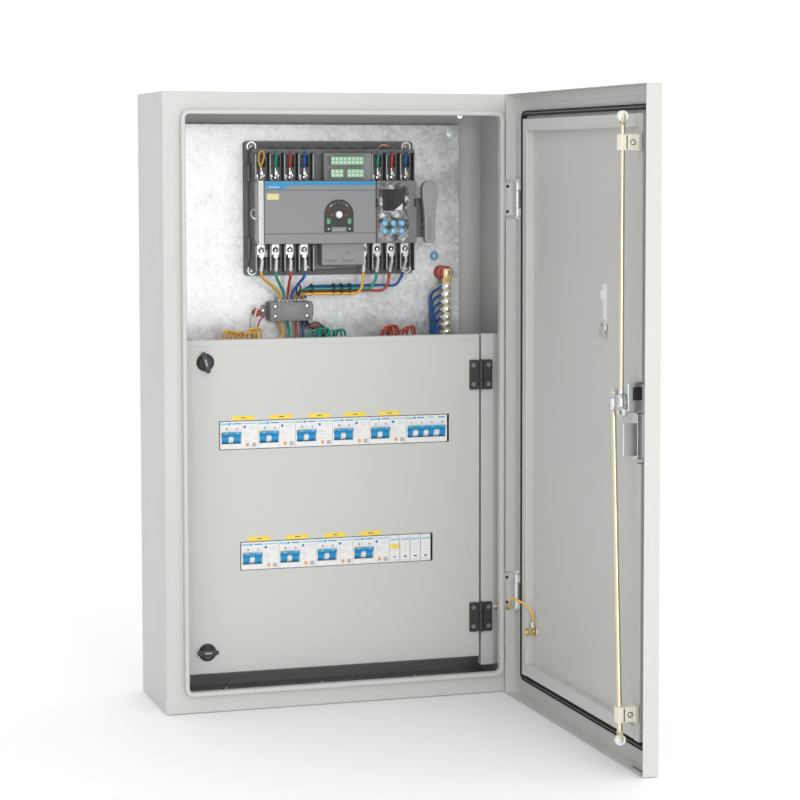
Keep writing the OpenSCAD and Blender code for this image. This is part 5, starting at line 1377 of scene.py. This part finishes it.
def buildNeutralBar():
    low, high = millimetres("neutral_bar")
    t, front = (low[0] + high[0]) / 2, low[1] + 5
    bar = Maker()
    bar.block(about(t, 7), (front, front + 6), (low[2], high[2]), "brass", 0.6)
    for k in range(wiring["neutrals"]["count"]):
        z = neutralHeight(low[2], k)
        bar.turned((t, front, z), "e", [(-5, 0), (-5, 2.4), (-4.6, 3.8), (-4, 4.6), (-1.4, 4.6)], "tinned", 20)
        bar.turned((t, front, z), "e", [(-1.4, 2.6), (-1.4, 6.3), (0, 6.3)], "zinc", 24)
        # dark bar on the screw head: painted shade of its slot
        bar.block(about(t, 3.4), (front - 5.08, front - 4.7), about(z, 0.5), "printDarkAndShade", 0,
                  turn=spun(t, 0, z, 25 * k))
        bar.plate([roundRect((t - 11, t + 4), about(z, 4), 3.4)], (front - 0.9, front - 0.05), "tinned", soft=0.15)
        bar.turned((t, front + 6, z), "e", [(0, 2.5), (5.6, 2.5), (6, 2.1), (6, 0)], "tinned", 16)
    bar.finish("neutralBar", "cabinet", "brass", ["neutral_bar"])
    posts = Maker()
    for z in (low[2] + 8, high[2] - 8):
        profile = [(0, 12), (-2, 12), (-4, 10.6), (-7, 10.0), (-10, 9.4), (-14, 9.0), (-18, 9.0), (-22, 9.4),
                   (-25, 10.2), (-28, 11.4), (-32, 12), (-34.5, 12), (-36, 10.8), (-36, 4)]
        posts.turned((t, switch["wall"], z), "e", profile, "redInsulator", 36)
        posts.turned((t, front - 0.1, z), "e", [(-4.2, 0), (-4.2, 4.4), (-3.6, 5.4), (0, 5.4)], "brass", 6)
        posts.turned((t, front + 0.02, z), "e", [(-0.6, 0), (-0.6, 7.4), (0.0, 7.4)], "zinc", 24)
    posts.finish("barPosts", "cabinet", "red_insulator", ["bar_insulators"])
    sticker = Maker()
    (t, z), radius = earthSticker["centre"], earthSticker["radius"]
    wall = switch["wall"]
    sticker.plate([circle(t, z, radius, 32)], (wall - 0.25, wall + 0.02), "skyBlue")
    sticker.plate([circle(t, z, radius - 1.6, 32), circle(t, z, radius - 2.3, 32)], (wall - 0.3, wall - 0.2),
                  "whiteLabelAndGlare")
    sticker.plate([roundRect(about(t, 1.4), about(z, 4), 0.5, 2)], (wall - 0.3, wall - 0.2), "whiteLabelAndGlare")
    sticker.plate([roundRect(about(t, 4), (z - 0.8, z + 0.4), 0.3, 2)], (wall - 0.31, wall - 0.2), "whiteLabelAndGlare")
    sticker.finish("earthSticker", "cabinet", "galvanised")


buildBreakers()
print("breakers made")
buildSwitchBase()
buildSwitchCover()
buildDial()
buildController()
buildPaddle()
buildSwitchTerminals()
buildSignalTerminals()
buildAuxBlock()
print("transfer switch made")
buildPowerWires()
buildControlWires()
buildTerminalBlock()
buildNeutralBar()
print("wiring made")

hinge = {
    "pin": (590, -21), "knuckle": 5, "outerKnuckle": 13.8, "pinRadius": 2.5, "height": 58,
    "centres": outerDoor["hingeZ"], "leafFrom": 572,
}


def buildOuterHinges():
    t, e = hinge["pin"]
    half, knuckle, pin, leafFrom = hinge["height"] / 2, hinge["knuckle"], hinge["pinRadius"], hinge["leafFrom"]
    fixed, moving, pins = Maker(), Maker(onDoor), Maker()
    leafT, leafE = millimetres("door_hinge_leaves", onDoor)[0][:2]
    outer = hinge["outerKnuckle"]
    for z in hinge["centres"]:
        fixed.turned((t, e, z - half / 2), "z", barrel(half, knuckle, 0.6), "zinc", 28)
        fixed.block((t - 4.5, t - 1.5), (e, -1.6), (z - half / 2, z + half / 2), "zinc", 0.5)
        fixed.plate([roundRect((leafFrom, t + 2), about(z, half), 2.5)], (-2, 0), "paint", soft=0.5)
        for side in (-1, 1):
            fixed.turned((leafFrom + 7, -1.95, z + side * 21), "e", [(-0.05, 0), (-0.05, 2.6), (0.2, 3.1)], "zinc",
                         18)
            centre = z + side * half * 0.75
            moving.turned((t, e, centre - outer / 2), "z", barrel(outer, knuckle, 0.6), "zinc", 28)
            moving.block((leafT, t), (leafE, leafE + 4.4), (centre - outer / 2, centre + outer / 2), "zinc", 0.5)
            moving.turned((leafT + 4, leafE + 3, z + side * 10), "e", [(0, 2.8), (0, 2.2), (-0.2, 0)], "zinc", 18)
        moving.block((leafT, t - knuckle - 0.6), (leafE, leafE + 3), (z - half + 0.3, z + half - 0.3), "paint", 0.7)
        long = hinge["height"] + 4
        profile = [(0, 0), (0, pin - 0.4), (0.5, pin), (long - 0.5, pin), (long, pin - 0.5), (long, 0)]
        pins.turned((t, e, z - half - 2), "z", profile, "tinned", 24)
    fixed.finish("hingeBrackets", "cabinet", "zinc_plated", ["hinge_brackets"])
    moving.finish("hingeLeaves", "outer_door", "zinc_plated", ["door_hinge_leaves"])
    pins.finish("hingePins", "cabinet", "zinc_plated", ["hinge_pins"])


lockWork = {
    "lock": outerDoor["lock"], "behind": 12, "rodRadius": 4, "lean": 3.750715, "footZ": 84, "rodT": 50.636,
    "crankT": 81.364, "rise": 12.728, "rollerRadius": 8, "rollerFromEnd": 46.5, "top": 1000,
}


def leaning(distance):     # a point on the lower rod's line, from its foot
    lean = math.radians(lockWork["lean"])
    return Vector((lockWork["rodT"] + distance * math.sin(lean), lockWork["behind"],
                   lockWork["footZ"] + distance * math.cos(lean)))


def addRodHead(rod, t, z, up, half):
    e = lockWork["behind"]
    slot = half - 3.0
    rod.plate([roundRect(about(t, half), about(z, 7.4), 4.5), roundRect(about(t, slot), about(z, 3.1), 3)],
              about(e, 2.4), "zinc", soft=0.5)
    rod.turned((t, e, z + up * 8), "z", [(0, 4.6), (up * 11, 4.6), (up * 12, 4.0)], "zinc", 24)
    rod.turned((t, e, z + up * 19.4), "z", [(0, 4.2), (up * 0.2, 4.9), (up * 5.8, 4.9), (up * 6, 4.2)], "zinc", 6)
    rod.turned((t, e, z + up * 26), "z", [(up * 0.7 * k, 4.0 + 0.35 * (k % 2)) for k in range(12)], "zinc", 20)
    rod.turned((t - 1, e, z + up * 22), "t", [(0, 2.5), (half + 0.5, 2.5), (half + 0.6, 0)], "zinc", 18)
    rod.turned((t + half - 2.4, e, z + up * 22), "t", [(0, 2.6), (0, 2.6), (4.2, 2.6), (4.4, 1.8), (4.4, 0)],
               "tinned", 6)


def addFork(rod, axle, direction):     # slim two-cheeked fork with the roller's axle
    e = lockWork["behind"]
    lean = math.radians(lockWork["lean"]) if direction < 0 else 0.0
    turn = Matrix.Translation(axle) @ Matrix.Rotation(lean, 4, "Y") @ Matrix.Translation(-axle)
    t, z = axle.x, axle.z
    for side in (-1, 1):
        low, high = sorted((t + side * 3.5, t + side * 5.4))
        rod.plate([filleted([(e - 3.2, z - direction * 12), (e + 3.2, z - direction * 12),
                             (e + 3.0, z + direction * 3.4), (e - 3.0, z + direction * 3.4)], [0.5, 0.5, 2.9, 2.9])],
                             (low, high), "passivated", "ezt", soft=0.3, turn=turn)
        rod.turned((t + side * 5.3, e, z), "t", [(0, 2.9), (side * 0.5, 2.6), (side * 0.7, 0)], "tinned", 18,
                   turn=turn)
    rod.block(about(t, 5.4), about(e, 3.2), sorted((z - direction * 13.9, z - direction * 9.8)), "passivated", 0.6,
              turn=turn)
    rod.turned((t - 5.2, e, z), "t", [(0, 2), (10.4, 2)], "tinned", 16, turn=turn)


def addRoller(roller, centre, lean):
    r = lockWork["rollerRadius"]
    turn = Matrix.Translation(centre) @ Matrix.Rotation(lean, 4, "Y") @ Matrix.Translation(-centre)
    profile = [(0, 2.3), (0, 4.2), (0.5, 4.8), (0.5, 6.2), (0, 6.8), (0, r - 0.5), (0.6, r), (2.4, r), (3.1, r - 0.5),
               (3.8, r), (5.6, r), (6.2, r - 0.5), (6.2, 6.8), (5.7, 6.2), (5.7, 4.8), (6.2, 4.2), (6.2, 2.3)]
    roller.turned((centre.x - 3.1, centre.y, centre.z), "t", profile, "roller", 40, turn=turn)


def buildRods():
    e = lockWork["behind"]
    lockZ = lockWork["lock"][1]
    half = millimetres("upper_rod", onDoor)[1][0] - lockWork["rodT"] - 2
    headLow, headHigh = lockZ - lockWork["rise"], lockZ + lockWork["rise"]
    top = Vector((lockWork["rodT"], e, lockWork["top"] - lockWork["rollerFromEnd"]))
    upper = Maker(onDoor)
    bar = lockWork["rodRadius"]
    upper.turned((top.x, e, headLow + 30), "z", barrel(top.z - 12.4 - headLow - 30, bar, 0.6), "passivated", 28)
    addRodHead(upper, top.x, headLow, 1, half)
    addFork(upper, top, 1)
    upper.finish("upperRodWork", "upper_rod", "passivated", ["upper_rod"])
    lower = Maker(onDoor)
    foot = leaning(lockWork["rollerFromEnd"] - lockWork["footZ"])
    start = leaning(lockWork["rollerFromEnd"] - lockWork["footZ"] + 12.4)
    end = leaning((headHigh - lockWork["footZ"]) / math.cos(math.radians(lockWork["lean"])) - 26)
    lower.turned(start, end - start, barrel((end - start).length, bar, 0.6), "passivated", 28)
    addRodHead(lower, lockWork["crankT"], headHigh, -1, half)
    addFork(lower, foot, -1)
    lower.finish("lowerRodWork", "lower_rod", "passivated", ["lower_rod"])
    for name, centre, lean in (("upper_roller", top, 0.0), ("lower_roller", foot, math.radians(lockWork["lean"]))):
        roller = Maker(onDoor)
        addRoller(roller, centre, lean)
        roller.finish(name + "Wheel", name, "white_plastic", [name])


def buildRodGuides():
    low, high = millimetres("rod_guides", onDoor)
    e, t = lockWork["behind"], lockWork["rodT"]
    guides = Maker(onDoor)
    for z, lean in ((lockWork["top"] - lockWork["footZ"], 0), (lockWork["footZ"], lockWork["lean"])):
        spin = spun(t, e, z, lean)
        guides.block(about(t, 10.6), (low[1] + 0.2, low[1] + 7), about(z, 12.6), "ivory", 1.0)
        guides.block(about(t, 8.2), (low[1] + 6, high[1] - 9.5), about(z, 11.6), "ivory", 1.6, 3)
        for side in (-1, 1):
            guides.block(sorted((t + side * 4.35, t + side * 8.2)), (high[1] - 14, high[1] - 2), about(z, 11.6),
                         "ivory", 1.2, 3)
        guides.plate([circle(t, e, 7.9, 36), circle(t, e, 4.3, 30)], about(z, 11.4), "ivory", "tez", soft=0.5,
                     turn=spin)
        guides.turned((t - 8.2, low[1] + 13.5, z), "t", [(-0.1, 4.4), (-0.1, 3.2), (0.4, 2.9)], "ivory", 24)
        # dark grey disc in the boss's hole round the screw: painted shade
        guides.turned((t - 8.25, low[1] + 13.5, z), "t", [(-0.02, 0), (-0.02, 2.9), (0.4, 3.2)], "darkGreyAndShade", 24)
        guides.turned((t - 8.3, low[1] + 13.5, z), "t", [(-0.25, 0), (-0.25, 1.6), (0.2, 2.1)], "zinc", 18)
        for side in (-1, 1):
            guides.turned((t + side * 7, low[1] + 7, z + 9.3), "e", [(0.6, 0), (0.6, 1.4), (-0.1, 2.2)], "zinc", 16)
    guides.finish("rodGuides", "outer_door", "ivory_plastic", ["rod_guides"])


def buildLock():
    t, z = lockWork["lock"]
    low = millimetres("lock_housing", onDoor)[0]
    body = Maker(onDoor)
    body.plate([roundRect(about(t, 12), (z - 85, z + 30), 3)], (low[1], low[1] + 3), "zinc", soft=0.6)
    body.plate([roundRect(about(t, 11), (z - 16, z + 29), 3.5)], (low[1] + 2.6, -0.2), "zinc", soft=1.4)
    body.plate([roundRect(about(t, 10), (z - 84, z - 17), 2.5)], (low[1] + 2.6, low[1] + 11.4), "zinc", soft=1.0)
    body.block((t - 9, t - 5.4), (-16.4, 5.6), (z - 78.5, z - 30.5), "zinc", 0.6)
    body.block((t - 5.6, t + 7), (-16.4, -4), (z - 78, z - 66), "zinc", 0.8)
    body.turned((t, -0.2, z), "e", [(-0.6, 9.6), (0.15, 9.2), (0.15, 6.2)], "tinned", 36)
    for up, e, profile in ((22, 27.3, [(-1, 4.2), (-0.1, 3.6), (-0.1, 0)]),
                           (-28, 11.3, [(0, 4.6), (1.1, 4.0), (1.5, 2.6), (1.5, 0)]),
                           (-62, 11.3, [(0, 4.6), (1.1, 4.0), (1.5, 2.6), (1.5, 0)])):
        body.turned((t, low[1] + e, z + up), "e", profile, "tinned", 20)
    for side in (-1, 1):
        body.block(sorted((t + side * 8, t + side * 11.6)), (low[1] + 5, low[1] + 20), (z + 3, z + 22), "black", 0.4)
    body.finish("lockBody", "outer_door", "zinc_plated", ["lock_housing"])
    cam = Maker(onDoor)
    swing = spun(t, 0, z, -45)
    cam.plate([roundRect(about(t, 24), about(z, 6), 5.98, 8), circle(t, z, 6.05, 28)], (2.4, 6.5), "zinc", soft=0.5,
              turn=swing)
    cam.turned((t, 2.1, z), "e", [(0, 6.1), (0, 10.4), (0.5, 11), (4.1, 11), (4.6, 10.4), (4.6, 6.1)], "zinc", 40)
    for side in (-1, 1):
        u, v = t + side * lockWork["rise"], z + side * lockWork["rise"]
        cam.turned((u, 6.4, v), "e", [(0, 2.5), (8, 2.5), (8.1, 4.9), (10, 4.9), (10.5, 4.2), (10.5, 0)], "tinned",
                   24)
    cam.finish("lockCam", "door_latch", "zinc_plated", ["lock_cam"])
    front = millimetres("lock_handle", onDoor)[0][1]
    grip = Maker(onDoor)
    grip.turned((t, front + 8, z), "e", [(0, 0), (0, 14.6), (0.6, 16.2), (2.2, 17), (11.6, 17), (11.6, 0)], "black",
                44)
    grip.turned((t, front + 18, z), "e", [(0, 6), (30.6, 6), (31.4, 5.4), (38, 5.4), (38.2, 0)], "tinned", 32)
    halves = ((-12, 3), (-11, 5), (-8.6, 7), (-5, 8), (12, 8), (30, 7.4), (50, 6.6), (72, 6), (88, 5.6), (92, 4.6),
              (94.4, 2.6), (95, 1))
    outline = [(t + along, z + half) for along, half in halves]
    outline += [(t + along, z - half) for along, half in reversed(halves)]
    grip.plate([outline], (front + 0.3, front + 8.4), "black", soft=2.2)
    grip.plate([roundRect((t - 4, t + 9), about(z, 4), 3.5)], (front + 0.1, front + 0.6), "darkGreyAndShade", soft=0.15)
    grip.finish("lockGrip", "door_latch", "black_plastic", ["lock_handle"])


def buildKeys():           # a strip of white tape holding the two cabinet keys in their clear bag
    t, e, foot = millimetres("key_bag", onDoor)[0]
    t += 22

    def strip(corners, rounds, span, finish, soft, turn=None, holes=()):
        outline = filleted([(t + u, foot + v) for u, v in corners], rounds)
        keys.plate([outline] + list(holes), span, finish, soft=soft, turn=turn)

    keys = Maker(onDoor)
    strip([(-7, 22), (9, 20), (10, 84), (-6, 86)], [1] * 4, (e + 0.1, e + 1.1), "whiteLabelAndGlare", 0.3)
    strip([(-5, 62), (16, 60), (17, 74), (-6, 75)], [1] * 4, (e + 0.9, e + 1.6), "tape", 0.2)
    ring = [(t + 4 * math.cos(a) + 2, e + 3.2 + 1.2 * math.sin(2 * a), foot + 26 + 6 * math.sin(a))
            for a in angles(26)]
    keys.tube(ring, 0.7, "tinned", 8, closed=True)
    for k, lean in enumerate((16, -12)):
        turn = spun(t + 2, e, foot + 24, lean)
        face = (e + 1.6 + 1.9 * k, e + 3.3 + 1.9 * k)
        strip([(-6, 10), (10, 10), (12, 20), (7, 27), (-3, 27), (-8, 20)], [3, 3, 4, 4, 4, 4], face, "tinned", 0.3,
              turn, [circle(t + 2, foot + 22, 2.2, 18)])
        strip([(-0.5, 0.6), (4.5, 0.6), (4.5, 11), (-0.5, 11)], [1.5, 1.5, 0, 0], face, "tinned", 0.3, turn)
    string = [(t + 24, e + 1.2, foot + 10), (t + 28, e + 2.2, foot + 2), (t + 20, e + 1.6, foot + 0.8),
              (t + 12, e + 1.4, foot + 6)]
    keys.tube(curveThrough(string, 8), 0.8, "whiteLabelAndGlare", 8)
    keys.finish("cabinetKeys", "outer_door", "clear_film", ["key_bag"])


# Painted shade of a drain slot in the outer door's bottom flange (a thin black patch, not a cut), and a tag and a
# scrap of wire on the cabinet's floor.
def buildSmallMarks():
    slotShade = Maker(onDoor)
    # black patch standing in for the slot's opening: painted shade
    slotShade.plate([roundRect((28, 66), (-17, -13.4), 1.7)], (1.4, 1.62), "black", "tez")
    slotShade.finish("drainSlotShade", "outer_door", "black_plastic")
    tag = Maker()
    tag.plate([roundRect((396, 452), (24, 52), 1.5, 2)], (2.2, 2.8), "whiteLabelAndGlare", "tez")
    tag.tube(curveThrough([(318, 40, 3), (332, 34, 4.5), (344, 42, 4), (356, 38, 3)], 8), 1.4, "wireRed", 8)
    tag.finish("floorTag", "cabinet", "painted_steel")


buildOuterHinges()
buildRods()
buildRodGuides()
buildLock()
buildKeys()
buildSmallMarks()
print("door hardware made")

floorLook = {"size": 30.0, "colour": (0.97, 0.97, 0.968), "gap": 0.0005}


def buildFloor():
    mesh = bpy.data.meshes.new("floor")
    half = floorLook["size"] / 2
    mesh.from_pydata([(-half, -half, 0), (half, -half, 0), (half, half, 0), (-half, half, 0)], [], [(0, 1, 2, 3)])
    floor = bpy.data.objects.new("floor", mesh)
    floor.location.z = shellLow.z - floorLook["gap"]
    scene.collection.objects.link(floor)
    mesh.materials.append(finishOf("paleFloor", floorLook["colour"], 0.6, drift=0.015, speckle=0.01, wear=0.0,
            driftScale=1.5))


def addAreaLight(name, at, target, size, power):
    data = bpy.data.lights.new(name, "AREA")
    data.shape, data.size, data.energy = "DISK", size, power
    light = bpy.data.objects.new(name, data)
    light.location = at
    light.rotation_euler = (Vector(target) - Vector(at)).to_track_quat("-Z", "Y").to_euler()
    scene.collection.objects.link(light)


studio = {
    "sky": {"From Min": -0.95, "From Max": -0.35, "To Min": 0.62, "To Max": 1.12},
    "lights": (
        ("keyLight", (0.9, -4.2, 2.6), (0, -0.2, 0), 2.4, 12),
        ("frontLight", (-0.12, -3.4, 0.7), (0.1, -0.2, 0), 0.5, 13),
        ("lowLight", (-0.05, -3.2, -0.16), (0.0, -0.1, -0.45), 0.4, 5),
    ),
}

buildFloor()
world = bpy.data.worlds.new("studio")
world.use_nodes = True
world.node_tree.nodes["Background"].inputs["Color"].default_value = (1, 1, 1, 1)
sky = world.node_tree                      # the light falls off towards the cabinet's left
direction = sky.nodes.new("ShaderNodeSeparateXYZ")
sky.links.new(sky.nodes.new("ShaderNodeTexCoord").outputs["Generated"], direction.inputs[0])
falloff = sky.nodes.new("ShaderNodeMapRange")
for name, value in studio["sky"].items():
    falloff.inputs[name].default_value = value
sky.links.new(direction.outputs["X"], falloff.inputs["Value"])
sky.links.new(falloff.outputs[0], sky.nodes["Background"].inputs["Strength"])
scene.world = world
for name, at, target, size, power in studio["lights"]:
    addAreaLight(name, at, target, size, power)
